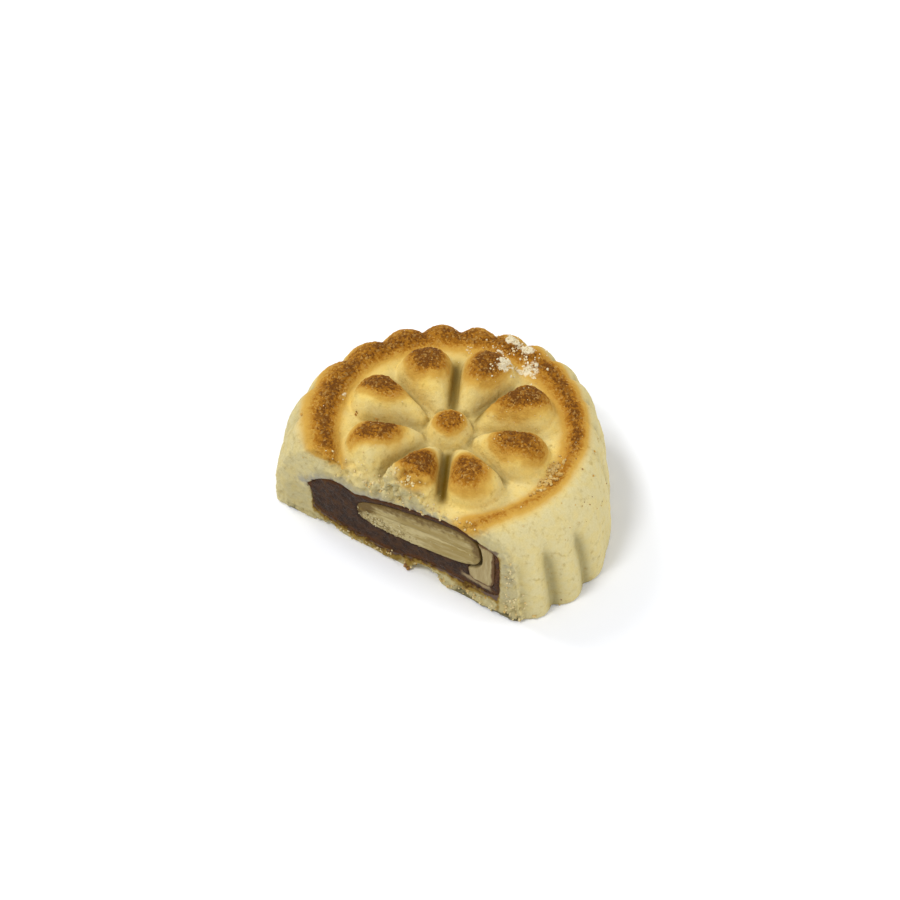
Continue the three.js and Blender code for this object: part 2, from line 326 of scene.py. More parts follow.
@dataclass(frozen=True)
class Round:
    """Outer form of the pressed round: fluted side, raised ring, moat and flower."""

    rim_r: float = 18.1
    rim_z: float = 15.9
    base_r: float = 24.2
    shoulder: float = 2.3
    foot_r: float = 0.6
    floor_z: float = 14.3
    moat_z: float = 14.9
    moat_r: float = 15.6
    ring_half_width: float = 1.25
    waves: tuple[tuple[int, float, float], ...] = (
        (1, 0.74, -84), (2, 0.37, -25), (3, 0.31, -31), (4, 0.44, -4), (5, 0.34, -6)
    )
    dent: Swell = Swell(214, 32, 0.8)
    flutes: int = 24
    first_flute: float = -4.5
    flute_depth: float = 0.95
    cusp: float = 0.75
    drift: float = 0.75
    drift_from: float = 15.0
    drift_span: float = 205.0
    deep: Swell = Swell(-20, 25, 0.55)
    shallow: Swell = Swell(215, 38, 0.3)
    merged: Swell = Swell(10.5, 7, 0.75)
    crowded: Swell = Swell(-33, 6, 0.5)
    crowding: float = 0.5
    turned: Swell = Swell(-4, 12, 0.1)
    fade_from_r: float = 18.4
    fade_to_r: float = 20.6
    notch: float = 0.35
    behind: Swell = Swell(130, 50, 0.5)
    smoother: Swell = Swell(-12, 55, 0.95)
    flower: Flower = Flower()
    # Painted shade of each groove between the petals, and how far its dark line lies to one side of the
    # groove's middle
    groove_shades: tuple[tuple[float, float], ...] = (
        (0.15, 0.0), (0.85, -1.0), (0.8, 0.0), (0.3, 0.0), (0.45, 0.0), (0.55, 0.0), (1.0, 0.2), (0.15, 0.0)
    )
    lean: Swell = Swell(-8, 30, 0.2)
    fade_behind: Swell = Swell(130, 60, 1.0)
    smooth_up: Ramp = Ramp(8.5, 14.0)
    notch_out: Ramp = Ramp(16.6, 18.1)
    fillet: float = 0.18
    crease_shading: CreaseShading = CreaseShading()
    sink: float = 0.8
    sink_depth: Ramp = behind_cut(2.2, 0.0)
    sink_middle: Hill = Hill(0.5, 3.0)
    sink_middle_depth: Ramp = behind_cut(2.6, 0.0)

    def valley(self, angle: Array) -> Array:
        """How deep the flutes are cut at a direction."""
        along = np.clip(((angle % 360.0) - self.drift_from) / self.drift_span, 0.0, 1.0)
        lobe = (angle - self.first_flute) * self.flutes / 360.0 + self.drift * np.sin(math.pi * along) ** 2
        lobe = lobe - self.crowding * self.crowded.at(angle) + self.turned.at(angle)
        cut = 1.0 - (np.sin(math.pi * lobe) ** 2 + 0.0025) ** (self.cusp / 2)
        depth = self.flute_depth + self.deep.at(angle) - self.shallow.at(angle)
        return cut * depth * (1 - self.merged.at(angle)) * (1 - self.crowded.at(angle))

    def notches(self, angle: Array) -> Array:
        """How deep the flutes notch the crown of the ring."""
        return self.valley(angle) * (self.notch * (1.0 - self.smoother.at(angle)) + self.behind.at(angle))

    def side(self, z: Array, angle: Array) -> Array:
        """Radius of the outside at a height and a direction."""
        up = np.clip((z - self.foot_r) / (self.rim_z - self.foot_r), 0.0, 1.0)
        out = (1 - up**self.shoulder) ** (1 / self.shoulder)
        uneven = sum(amount * np.cos(np.radians(n * (angle - crest))) for n, amount, crest in self.waves)
        r = self.rim_r + (self.base_r + uneven - self.rim_r) * out
        low = 1.0 - self.smoother.at(angle) * self.smooth_up.at(z)
        valley = self.valley(angle + self.lean.at(angle) * z)
        return r - valley * low * ease(r + self.fade_behind.at(angle), self.fade_from_r, self.fade_to_r)

    def top(self, points: Array) -> Array:
        """Height of the top: ring, moat, grooves and flower."""
        r, angle = polar(points)
        floor = self.floor_z + (self.moat_z - self.floor_z) * ease(r, self.flower.widest_r, self.moat_r)
        inside = np.minimum(0.0, r - (self.rim_r - self.dent.at(angle)))
        ring = floor + (self.rim_z - self.moat_z) * hump(inside, self.ring_half_width)
        ring = ring - self.notches(angle) * self.notch_out.at(r)
        return soft_max(ring, self.floor_z + self.flower.height(points), self.fillet)

    def crease_shade(self, points: Array) -> Array:
        """How much painted shade a spot of the crust gets for lying between two slopes: 0 on open crust, 1 in
        a groove or a flute valley.
        """
        look, z = self.crease_shading, points[:, 2]
        r, angle = polar(points)
        here, deepest = self.top(points), np.zeros(len(points))
        for turn in np.arange(6) * math.pi / 6:
            step = look.span * np.array([math.cos(turn), math.sin(turn), 0.0])
            beside = np.minimum(self.top(points + step), self.top(points - step))
            deepest = np.maximum(deepest, beside - here)
        # Painted shade in the flute valleys of the side
        flutes = look.flute_amount * self.valley(angle + self.lean.at(angle) * z)
        flutes = flutes * (1.0 - self.smoother.at(angle) * look.flute_smooth.at(z))
        flutes = flutes * look.flute_below.at(z) * look.flute_outside.at(r)
        flutes = np.clip(flutes, 0.0, 1.0) ** look.flute_power
        # Painted shade in the grooves: from the depth between the slopes, and from each groove's own dark
        # line
        groove_shade = look.amount * (deepest - look.least)
        between = np.diff(self.flower.angles())[0] / 2
        for centre, (shade, aside) in zip(self.flower.angles() + between, self.groove_shades):
            across = r * np.radians(swing(angle, centre)) - aside
            line = shade * hump(across, look.groove_half)
            groove_shade = np.maximum(groove_shade, line * look.groove_start.at(r) * look.groove_end.at(r))
        return np.clip(np.maximum(groove_shade * (look.level.at(z) * look.inside.at(r)), flutes), 0.0, 1.0)

    def sunk(self, points: Array) -> Array:
        """How far the crust has sunk towards the cut."""
        x, y = points[:, 0], points[:, 1]
        middle = self.sink_middle.at(x) * self.sink_middle_depth.at(y)
        return self.sink * self.sink_depth.at(y) + middle

    def shape(self, points: Array) -> Array:
        """Moves the points of a plain round to the pressed form.

        Args:
            points: Places on a round of the mean radius whose top is flat.

        Returns:
            The same points on the pressed round.
        """
        r, angle = polar(points)
        z = points[:, 2].copy()
        on_top = z > self.rim_z - 0.01
        on_side = ~on_top & (r > 0.0)
        inset = np.where(z > 0.0, 0.0, self.foot_r)
        ratio = np.where(z > 0.0, 1.0, r / (self.base_r - self.foot_r))
        wanted = (self.side(z, angle) - inset) * ratio
        scale = np.where(on_side, wanted / np.maximum(r, 1e-9), 1.0)
        moved = points * np.stack([scale, scale, np.ones_like(z)], axis=1)
        dip = self.notches(angle) * ease(z, self.rim_z * 0.5, self.rim_z)
        moved[:, 2] = np.where(on_top, self.top(points), z - np.where(on_side, dip, 0.0))
        moved[:, 2] -= np.where(moved[:, 2] > 8.0, self.sunk(moved), 0.0)
        return moved


@dataclass(frozen=True)
class PasteForm:
    """The flat lump of date paste: its outline on the cut, and a plainer lump behind it."""

    x: float = 1.1
    radius: float = 21.1
    wall: float = 1.1
    squareness: float = 11.0
    roof: tuple[tuple[float, float], ...] = (
        (-15.1, 7.0), (-14.2, 8.1), (-12.4, 9.7), (-11, 10.2), (-8, 10.1), (-6.6, 9.9), (-5, 10.4),
        (-2.5, 11.1), (0, 11.8), (2, 12.4), (5, 13.0), (8, 13.5), (10, 13.65), (12, 13.4), (14, 12.8),
        (17.5, 12.6)
    )
    floor: tuple[tuple[float, float], ...] = (
        (-15.1, 6.8), (-14.5, 6.1), (-14.1, 3.4), (-13, 2.5), (-11, 2.1), (-7, 1.9), (-3, 1.8), (0, 1.9),
        (2, 2.3), (3.5, 2.9), (8, 3.3), (12, 3.2), (17.5, 2.9)
    )
    deep_middle: float = 7.1
    deep_half: float = 4.4
    deep_slope: float = 0.12

    def heights(self, x: Array, y: Array | float = CUT_Y) -> tuple[Array, Array]:
        """Lowest and highest point of the paste at a place."""
        behind = ease(np.asarray(y), CUT_Y + 1.5, CUT_Y + 5.0)
        low, high = np.interp(x, *zip(*self.floor)), np.interp(x, *zip(*self.roof))
        middle = self.deep_middle + self.deep_slope * x
        ragged = np.stack([np.asarray(x), np.zeros_like(x), np.zeros_like(x)], axis=1)
        low = low + 0.12 * Noise(53).rough(ragged, 2.6) + (middle - self.deep_half - low) * behind
        high = high + 0.09 * Noise(57).rough(ragged, 2.9) + (middle + self.deep_half - high) * behind
        return low, np.minimum(high, 13.7)

    def shape(self, outside: Round, margin: float) -> Callable[[Array], Array]:
        """Makes the move from a unit lump to the paste.

        Args:
            outside: The round that the paste lies in.
            margin: How much larger the lump is made on every side.

        Returns:
            A function that moves points of a lump of height -1 to 1.
        """

        def move(points: Array) -> Array:
            """Points of the unit lump, where the paste has them."""
            x = points[:, 0] + self.x
            low, high = self.heights(x, points[:, 1])
            z = (low + high) / 2 + points[:, 2] * ((high - low) / 2 + margin)
            moved = np.stack([x, points[:, 1], z], axis=1)
            r, angle = polar(moved)
            most = outside.side(z, angle) - self.wall + margin
            shrink = np.minimum(1.0, most / np.maximum(r, 1e-9))
            moved[:, :2] *= shrink[:, None]
            return moved

        return move


@dataclass(frozen=True)
class NutForm:
    """An almond, or a piece of one, whose flat lies on the cut."""

    x: float
    z: float
    half_length: float
    half_height: float
    depth: float
    tilt: float
    squareness: float
    taper: float = 0.0

    def shape(self, margin: float) -> Callable[[Array], Array]:
        """Makes the move from a unit ball to the nut, grown by a margin."""

        def move(points: Array) -> Array:
            """Points of the unit ball, where the nut has them."""
            blunt = np.sign(points) * np.abs(points) ** (2 / self.squareness)
            size = np.array([self.half_length, self.depth, self.half_height]) + margin
            x, y, z = (blunt * size).T
            z = z * (1.0 + self.taper * blunt[:, 0])
            a = math.radians(self.tilt)
            turned = [x * math.cos(a) - z * math.sin(a), y, x * math.sin(a) + z * math.cos(a)]
            return np.stack(turned, axis=1) + np.array([self.x, CUT_Y, self.z])

        return move

    def local(self, points: Array) -> tuple[Array, Array]:
        """Place along the nut and up it, each from -1 to 1."""
        a = math.radians(self.tilt)
        x, z = points[:, 0] - self.x, points[:, 2] - self.z
        along = (x * math.cos(a) + z * math.sin(a)) / self.half_length
        half_height = self.half_height * (1.0 + self.taper * np.clip(along, -1.0, 1.0))
        return along, (z * math.cos(a) - x * math.sin(a)) / half_height


LONG_NUT = NutForm(3.85, 8.75, 10.4, 3.0, 3.6, 9.5, 3.1, 0.2)
SHORT_NUT = NutForm(14.4, 8.6, 2.2, 4.0, 4.4, 0.0, 4.2)
PASTE_BETWEEN = 0.45


# ------------------------------------------------------------------------------------------ mesh making


def spun(name: str, profile: list[tuple[float, float]], steps: int) -> bpy.types.Object:
    """Spins a profile round Z into a closed body.

    Args:
        name: Name of the object.
        profile: Radius and height of each point, from one end on the axis to the other.
        steps: Segments per turn.

    Returns:
        The new object, in the scene.
    """
    bm = bmesh.new()
    verts = [bm.verts.new((r, 0.0, z)) for r, z in profile]
    edges = [bm.edges.new(pair) for pair in zip(verts, verts[1:])]
    bmesh.ops.spin(
        bm, geom=verts + edges, cent=(0, 0, 0), axis=(0, 0, 1), angle=math.tau, steps=steps, use_merge=True
    )
    put_in_order(bm)
    bmesh.ops.remove_doubles(bm, verts=bm.verts, dist=1e-4)
    bmesh.ops.recalc_face_normals(bm, faces=bm.faces)
    return placed(name, bm)


def put_in_order(bm: bmesh.types.BMesh) -> None:
    """Sorts edges and faces by their points, as some operators leave them in an order set by chance."""
    bm.verts.index_update()
    for parts in (bm.edges, bm.faces):
        ranked = sorted(parts, key=lambda part: sorted(vert.index for vert in part.verts))
        ranks = {part: rank for rank, part in enumerate(ranked)}
        parts.sort(key=ranks.__getitem__)
        parts.index_update()


def placed(name: str, bm: bmesh.types.BMesh) -> bpy.types.Object:
    """Turns a bmesh into an object in the scene and frees it."""
    mesh = bpy.data.meshes.new(name)
    bm.to_mesh(mesh)
    bm.free()
    obj = bpy.data.objects.new(name, mesh)
    bpy.context.scene.collection.objects.link(obj)
    return obj


def spots(obj: bpy.types.Object) -> Array:
    """Places of an object's points."""
    flat = np.empty(len(obj.data.vertices) * 3)
    obj.data.vertices.foreach_get("co", flat)
    return flat.reshape(-1, 3)


def facings(obj: bpy.types.Object) -> Array:
    """Directions in which an object's points face."""
    flat = np.empty(len(obj.data.vertices) * 3, np.float32)
    obj.data.vertex_normals.foreach_get("vector", flat)
    return flat.reshape(-1, 3).astype(float)


def reshape(obj: bpy.types.Object, points: Array) -> None:
    """Moves an object's points to new places."""
    obj.data.vertices.foreach_set("co", points.astype(np.float32).ravel())
    obj.data.update()


def edit(obj: bpy.types.Object, change: Callable[[bmesh.types.BMesh], None]) -> None:
    """Runs a change on an object's mesh as a bmesh."""
    bm = bmesh.new()
    bm.from_mesh(obj.data)
    change(bm)
    bm.to_mesh(obj.data)
    bm.free()
    obj.data.update()


def slice_front(obj: bpy.types.Object, y: float) -> None:
    """Cuts away what lies in front of a plane and closes the cut."""

    def change(bm: bmesh.types.BMesh) -> None:
        """Cuts, closes and turns all faces outwards."""
        everything = bm.verts[:] + bm.edges[:] + bm.faces[:]
        bmesh.ops.bisect_plane(
            bm, geom=everything, dist=1e-5, plane_co=(0, y, 0), plane_no=(0, -1, 0), clear_outer=True
        )
        bmesh.ops.holes_fill(bm, edges=[e for e in bm.edges if e.is_boundary], sides=0)
        bmesh.ops.recalc_face_normals(bm, faces=bm.faces)

    edit(obj, change)


def settle(obj: bpy.types.Object) -> None:
    """Applies an object's modifiers."""
    depsgraph = bpy.context.evaluated_depsgraph_get()
    made = bpy.data.meshes.new_from_object(obj.evaluated_get(depsgraph))
    obj.modifiers.clear()
    old, obj.data = obj.data, made
    bpy.data.meshes.remove(old)


def discard(*objects: bpy.types.Object) -> None:
    """Removes objects that only shaped others."""
    for obj in objects:
        mesh = obj.data
        bpy.data.objects.remove(obj)
        bpy.data.meshes.remove(mesh)


def carve(obj: bpy.types.Object, *tools: bpy.types.Object) -> None:
    """Takes the room of other bodies out of one, and removes them."""
    for tool in tools:
        cut = obj.modifiers.new("carve", "BOOLEAN")
        cut.operation, cut.solver, cut.object = "DIFFERENCE", "EXACT", tool
    settle(obj)
    discard(*tools)


def reskin(obj: bpy.types.Object, size: float) -> None:
    """Gives an object an even skin of small faces."""
    skin = obj.modifiers.new("skin", "REMESH")
    skin.mode, skin.voxel_size = "VOXEL", size
    settle(obj)


def relax(obj: bpy.types.Object, times: int, where: Array | None = None) -> None:
    """Evens out an object's skin.

    Args:
        obj: The object.
        times: How often every point moves towards the middle of its neighbours.
        where: Whether each point takes part; all do when left out.
    """

    def change(bm: bmesh.types.BMesh) -> None:
        """Smooths the chosen points."""
        bm.verts.ensure_lookup_table()
        verts = bm.verts[:] if where is None else [bm.verts[int(i)] for i in np.flatnonzero(where)]
        every_way = {"use_axis_x": True, "use_axis_y": True, "use_axis_z": True}
        for _ in range(times):
            bmesh.ops.smooth_vert(bm, verts=verts, factor=0.5, **every_way)

    edit(obj, change)


def thin_out(obj: bpy.types.Object, where: Array, keep: float) -> None:
    """Keeps only a share of an object's faces where it is plain or out of sight.

    Args:
        obj: The object.
        where: Whether each point may do with fewer faces.
        keep: Share of the faces there that stays.
    """
    group = obj.vertex_groups.new(name="thinned")
    group.add([int(i) for i in np.flatnonzero(where)], 1.0, "REPLACE")
    thin = obj.modifiers.new("thin", "DECIMATE")
    thin.vertex_group = group.name
    thin.ratio = 1.0 - where.mean() * (1.0 - keep)
    settle(obj)
    obj.vertex_groups.clear()


def mark(obj: bpy.types.Object, zone: Zone, values: Array) -> None:
    """Writes a point attribute."""
    layer = obj.data.attributes.new(zone.value, "FLOAT", "POINT")
    layer.data.foreach_set("value", np.clip(values, 0.0, 1.0).astype(np.float32))


def finish(
    obj: bpy.types.Object,
    material: bpy.types.Material,
    slot: Slot,
    nodes: tuple[str, ...] = (),
    smooth: bool = True,
) -> bpy.types.Object:
    """Scales a piece to metres, dresses it and joins it to the frame.

    Args:
        obj: The piece, in millimetres.
        material: Its material.
        slot: The record's slot that the material stands for.
        nodes: CAD nodes that the piece stands for.
        smooth: Whether its faces are shaded as one surface.

    Returns:
        The piece.
    """
    reshape(obj, spots(obj) * METRE)
    obj.data.polygons.foreach_set("use_smooth", np.full(len(obj.data.polygons), smooth))
    obj.data.materials.clear()
    obj.data.materials.append(material)
    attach(obj, "root")
    if nodes:
        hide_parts(*nodes)
    obj.data.calc_loop_triangles()
    LOG.info("%s: %d triangles, slot %s", obj.name, len(obj.data.loop_triangles), slot.value)
    return obj


# -------------------------------------------------------------------------------------------- finishes


GOLDEN: Colour = (0.55, 0.315, 0.055)
BROWNED: Colour = (0.37, 0.15, 0.01)
DARK_BROWN: Colour = (0.115, 0.037, 0.005)
LIGHT_GRAIN: Colour = (0.54, 0.32, 0.09)


class Wiring:
    """Adds shader nodes to one tree and joins them."""

    def __init__(self, tree: bpy.types.NodeTree) -> None:
        """Takes the tree that the nodes go into."""
        self.tree = tree

    def put(self, kind: str, inputs: dict | None = None, **settings: object) -> bpy.types.Node:
        """Adds a node.

        Args:
            kind: Blender's name of the node type.
            inputs: Value or output for each input, by its name or number.
            **settings: Properties of the node.

        Returns:
            The new node.
        """
        node = self.tree.nodes.new(kind)
        for name, value in settings.items():
            setattr(node, name, value)
        for key, value in (inputs or {}).items():
            if isinstance(value, bpy.types.NodeSocket):
                self.tree.links.new(value, node.inputs[key])
            else:
                node.inputs[key].default_value = value
        return node

    def place(self) -> Socket:
        """Place on the object."""
        return self.put("ShaderNodeTexCoord").outputs["Object"]

    def zone(self, zone: Zone) -> Socket:
        """Value of a point attribute."""
        return self.put("ShaderNodeAttribute", attribute_name=zone.value).outputs["Fac"]

    def calc(self, operation: str, a: Socket | float, b: Socket | float = 0.0, clamp: bool = False) -> Socket:
        """Result of a sum, product or other operation on two numbers."""
        node = self.put("ShaderNodeMath", {0: a, 1: b}, operation=operation, use_clamp=clamp)
        return node.outputs[0]

    def step(self, value: Socket, low: float, high: float, top: float = 1.0) -> Socket:
        """Smooth step from 0 at low to top at high."""
        inputs = {"Value": value, "From Min": low, "From Max": high, "To Min": 0.0, "To Max": top}
        return self.put("ShaderNodeMapRange", inputs, interpolation_type="SMOOTHSTEP").outputs["Result"]

    def mix(self, share: Socket | float, a: Socket | Colour, b: Socket | Colour, how: str = "MIX") -> Socket:
        """Mixture of two colours."""
        first, second = (c if isinstance(c, bpy.types.NodeSocket) else (*c, 1.0) for c in (a, b))
        inputs = {0: share, 6: first, 7: second}
        return self.put("ShaderNodeMix", inputs, data_type="RGBA", blend_type=how).outputs[2]

    def tint(self, share: Socket | float, colour: Socket, by: Socket | Colour) -> Socket:
        """A colour, multiplied by another to a share."""
        return self.mix(share, colour, self.mix(1.0, colour, by, "MULTIPLY"))

    def off_middle(self, pattern: Socket, amount: float = 1.0) -> Socket:
        """A pattern about 0.5, moved to lie about 0 and made stronger or weaker."""
        centred = self.calc("SUBTRACT", pattern, 0.5)
        return centred if amount == 1.0 else self.calc("MULTIPLY", centred, amount)

    def blurred(self, zone: Zone, mottle: Socket, amount: float, clamp: bool = False) -> Socket:
        """A zone whose edge is broken up by a mottling about 0."""
        return self.calc("ADD", self.zone(zone), self.calc("MULTIPLY", mottle, amount), clamp)

    def noise(self, place: Socket, size: float, detail: float = 3.0, rough: float = 0.55) -> Socket:
        """Cloudy pattern from 0 to 1 whose lumps have a size in millimetres."""
        inputs = {"Vector": place, "Scale": 1.0 / (size * METRE), "Detail": detail, "Roughness": rough}
        return self.put("ShaderNodeTexNoise", inputs).outputs["Fac"]

    def group(self, tree: bpy.types.NodeTree, inputs: dict) -> bpy.types.Node:
        """Places a node group."""
        return self.put("ShaderNodeGroup", inputs, node_tree=tree)


def new_group(
    name: str, inputs: dict[str, tuple[str, object]], outputs: dict[str, str]
) -> tuple[Wiring, dict[str, Socket], bpy.types.Node]:
    """Starts a shader node group.

    Args:
        name: Name of the group.
        inputs: Kind and first value of each input, by name.
        outputs: Kind of each output, by name.

    Returns:
        Wiring for the group's tree, its inputs by name, and the node that takes its outputs.
    """
    tree = bpy.data.node_groups.new(name, "ShaderNodeTree")
    for key, (kind, first) in inputs.items():
        socket = tree.interface.new_socket(key, in_out="INPUT", socket_type=f"NodeSocket{kind}")
        if first is not None:
            socket.default_value = first
    for key, kind in outputs.items():
        tree.interface.new_socket(key, in_out="OUTPUT", socket_type=f"NodeSocket{kind}")
    wires = Wiring(tree)
    start = wires.put("NodeGroupInput")
    return wires, {key: start.outputs[key] for key in inputs}, wires.put("NodeGroupOutput")


@dataclass(frozen=True)
class Effects:
    """Node groups that more than one finish uses."""

    grain: bpy.types.NodeTree
    toasting: bpy.types.NodeTree

    @classmethod
    def build(cls) -> "Effects":
        """Makes the groups once."""
        return cls(cls._grain(), cls._toasting())

    @staticmethod
    def _grain() -> bpy.types.NodeTree:
        """Fine grain of a dry crumb: a height and a mottling, both about a middle of 0.5."""
        wires, given, end = new_group(
            "crumb_grain",
            {"Place": ("Vector", None), "Coarse": ("Float", 1000.0), "Fine": ("Float", 4000.0)},
            {"Height": "Float", "Mottle": "Float"},
        )
        layers = []
        for scale, detail in (("Coarse", 3.0), ("Fine", 4.0)):
            inputs = {"Vector": given["Place"], "Scale": given[scale], "Detail": detail, "Roughness": 0.6}
            layers.append(wires.put("ShaderNodeTexNoise", inputs).outputs["Fac"])
        parts = [wires.calc("MULTIPLY", layer, share) for layer, share in zip(layers, (0.45, 0.55))]
        height = wires.calc("ADD", *parts)
        wires.tree.links.new(height, end.inputs["Height"])
        wires.tree.links.new(layers[0], end.inputs["Mottle"])
        return wires.tree

    @staticmethod
    def _toasting() -> bpy.types.NodeTree:
        """Colour of dough from raw to dark brown, grain by grain, and the height of the grains."""
        wires, given, end = new_group(
            "toasting",
            {
                "Place": ("Vector", None),
                "Raw": ("Color", (0.6, 0.41, 0.14, 1.0)),
                "Toast": ("Float", 0.0),
                "Light Grains": ("Float", 0.5),
            },
            {"Color": "Color", "Height": "Float"},
        )
        grains = wires.put("ShaderNodeTexVoronoi", {"Vector": given["Place"], "Scale": 1.0 / (0.3 * METRE)})
        each = wires.put("ShaderNodeSeparateColor", {"Color": grains.outputs["Color"]}).outputs
        fine = wires.noise(given["Place"], 0.5, 4.0, 0.8)
        broad = wires.noise(given["Place"], 1.8, 2.0)
        uneven = wires.off_middle(each["Red"], 0.34)
        for pattern, amount in ((fine, 0.7), (broad, 0.5)):
            uneven = wires.calc("ADD", uneven, wires.off_middle(pattern, amount))
        strength = wires.step(given["Toast"], 0.12, 0.9, 1.0)
        toast = wires.calc("ADD", given["Toast"], wires.calc("MULTIPLY", uneven, strength), clamp=True)
        colour = given["Raw"]
        for low, high, shade in ((0.0, 0.34, GOLDEN), (0.3, 0.75, BROWNED), (0.62, 1.1, DARK_BROWN)):
            colour = wires.mix(wires.step(toast, low, high), colour, shade)
        chosen, browned = wires.step(each["Green"], 0.72, 0.9), wires.step(given["Toast"], 0.25, 0.6)
        light = wires.calc("MULTIPLY", chosen, browned)
        light = wires.calc("MULTIPLY", light, wires.step(fine, 0.4, 0.6))
        colour = wires.mix(wires.calc("MULTIPLY", light, given["Light Grains"]), colour, LIGHT_GRAIN)
        wires.tree.links.new(colour, end.inputs["Color"])
        bulge = wires.calc("SUBTRACT", 1.0, wires.calc("MULTIPLY", grains.outputs["Distance"], 1.4))
        wires.tree.links.new(wires.calc("MULTIPLY", bulge, given["Toast"]), end.inputs["Height"])
        return wires.tree


def start_material(name: str) -> tuple[bpy.types.Material, Wiring, bpy.types.Node]:
    """Makes a material with a Principled shader, and gives its wiring and that shader too."""
    material = bpy.data.materials.new(name)
    material.use_nodes = True
    shader = material.node_tree.nodes["Principled BSDF"]
    return material, Wiring(material.node_tree), shader


@dataclass(frozen=True)
class Surface:
    """How rough, glossy and uneven the surface of a finish is."""

    rough: float | None
    gloss: float | None
    strength: float
    relief: float

    def put_on(self, wires: Wiring, shader: bpy.types.Node, colour: Socket, height: Socket) -> None:
        """Joins a colour and a height to the shader and sets its constants.

        Args:
            wires: Wiring of the material.
            shader: Its Principled shader.
            colour: Colour of the surface.
            height: Height of its grain, from 0 to 1.
        """
        inputs = {"Height": height, "Strength": self.strength, "Distance": self.relief * METRE}
        normal = wires.put("ShaderNodeBump", inputs).outputs["Normal"]
        wires.tree.links.new(colour, shader.inputs["Base Color"])
        wires.tree.links.new(normal, shader.inputs["Normal"])
        for key, value in (("Roughness", self.rough), ("Specular IOR Level", self.gloss)):
            if value is not None:
                shader.inputs[key].default_value = value


@dataclass(frozen=True)
class BakedDough:
    """Pale crust, browned where it stands up, with a greyer crumb where it was cut; painted shade darkens its
    creases, its left side below the ring and the bottom edge of the cut.
    """

    side: Colour = (0.635, 0.55, 0.285)
    top: Colour = (0.77, 0.57, 0.16)
    crumb: Colour = (0.495, 0.43, 0.225)
    smear: Colour = (0.35, 0.33, 0.26)
    syrup: Colour = (0.27, 0.17, 0.03)
    soaked: Colour = (0.08, 0.034, 0.004)
    # Painted shadow under the bottom edge of the cut, among its crumbs
    underside_shadow: Colour = (0.13, 0.115, 0.06)
    freckle: Colour = (0.42, 0.24, 0.07)
    # Painted shade: greyer in the side's flute valleys, a saturated golden brown in the top's grooves and
    # creases
    side_crease_shade: Colour = (0.6, 0.59, 0.54)
    top_crease_shade: Colour = (0.21, 0.155, 0.02)
    smudge: Colour = (0.13, 0.09, 0.075)
    flour: Colour = (0.77, 0.69, 0.48)
    warmth: Colour = (1.03, 0.98, 0.82)
    dull_speck: Colour = (0.95, 0.94, 0.9)
    bright_speck: Colour = (1.06, 1.06, 1.07)
    surface: Surface = Surface(rough=0.85, gloss=0.1, strength=0.9, relief=0.2)

    def material(self, effects: Effects) -> bpy.types.Material:
        """Builds the material.

        Args:
            effects: The shared node groups.

        Returns:
            The material.
        """
        material, wires, shader = start_material("baked_dough")
        place = wires.place()
        grain = wires.group(effects.grain, {"Place": place, "Coarse": 1100.0, "Fine": 3600.0})
        mottle = wires.off_middle(grain.outputs["Mottle"])
        raw = wires.mix(wires.blurred(Zone.GOLD, mottle, 0.3, clamp=True), self.side, self.top)
        # Painted shade in the creases: greyer on the side, golden brown on the top
        level = wires.put("ShaderNodeSeparateXYZ", {"Vector": place}).outputs["Z"]
        on_top = wires.step(level, 12.0 * METRE, 13.6 * METRE)
        crease_shade = wires.mix(on_top, self.side_crease_shade, self.top_crease_shade)
        raw = wires.tint(wires.zone(Zone.CREASE), raw, crease_shade)
        # Greyer crumb of the cut, also used as painted shade on the left side below the ring
        raw = wires.mix(wires.step(wires.blurred(Zone.CUT, mottle, 0.5), 0.1, 0.9), raw, self.crumb)
        patchy = wires.step(grain.outputs["Mottle"], 0.3, 0.55)
        raw = wires.mix(wires.calc("MULTIPLY", wires.zone(Zone.SHADE), patchy), raw, self.smear)
        blot = wires.blurred(Zone.STAIN, mottle, 1.3)
        raw = wires.mix(wires.step(blot, 0.02, 0.6, 0.95), raw, self.syrup)
        raw = wires.mix(wires.step(blot, 0.65, 1.05), raw, self.soaked)
        smudge = wires.blurred(Zone.SMUDGE, mottle, 1.4)
        raw = wires.mix(wires.step(smudge, 0.3, 0.95, 0.85), raw, self.smudge)
        # Painted shadow under the bottom edge of the cut
        dark = wires.blurred(Zone.UNDER_EDGE_SHADOW, mottle, 1.6)
        raw = wires.mix(wires.step(dark, 0.4, 0.8, 0.85), raw, self.underside_shadow)
        warm = wires.step(wires.noise(place, 1.5, 3.0), 0.4, 0.65, 0.8)
        raw = wires.tint(warm, raw, self.warmth)
        speck = wires.noise(place, 0.24, 3.0, 0.7)
        dull = wires.mix(1.0, raw, self.dull_speck, "MULTIPLY")
        raw = wires.mix(wires.step(speck, 0.35, 0.5), dull, raw)
        raw = wires.tint(wires.step(speck, 0.52, 0.7), raw, self.bright_speck)
        freckle = wires.step(wires.noise(place, 0.62, 1.0), 0.72, 0.8, 0.35)
        raw = wires.mix(freckle, raw, self.freckle)
        inputs = {"Place": place, "Raw": raw, "Toast": wires.zone(Zone.TOAST), "Light Grains": 0.6}
        toasted = wires.group(effects.toasting, inputs).outputs
        floured = wires.step(wires.blurred(Zone.FLOUR, mottle, 1.2), 0.35, 0.6, 0.95)
        colour = wires.mix(floured, toasted["Color"], self.flour)
        height = wires.calc("ADD", grain.outputs["Height"], wires.calc("MULTIPLY", toasted["Height"], 0.7))
        self.surface.put_on(wires, shader, colour, height)
        return material


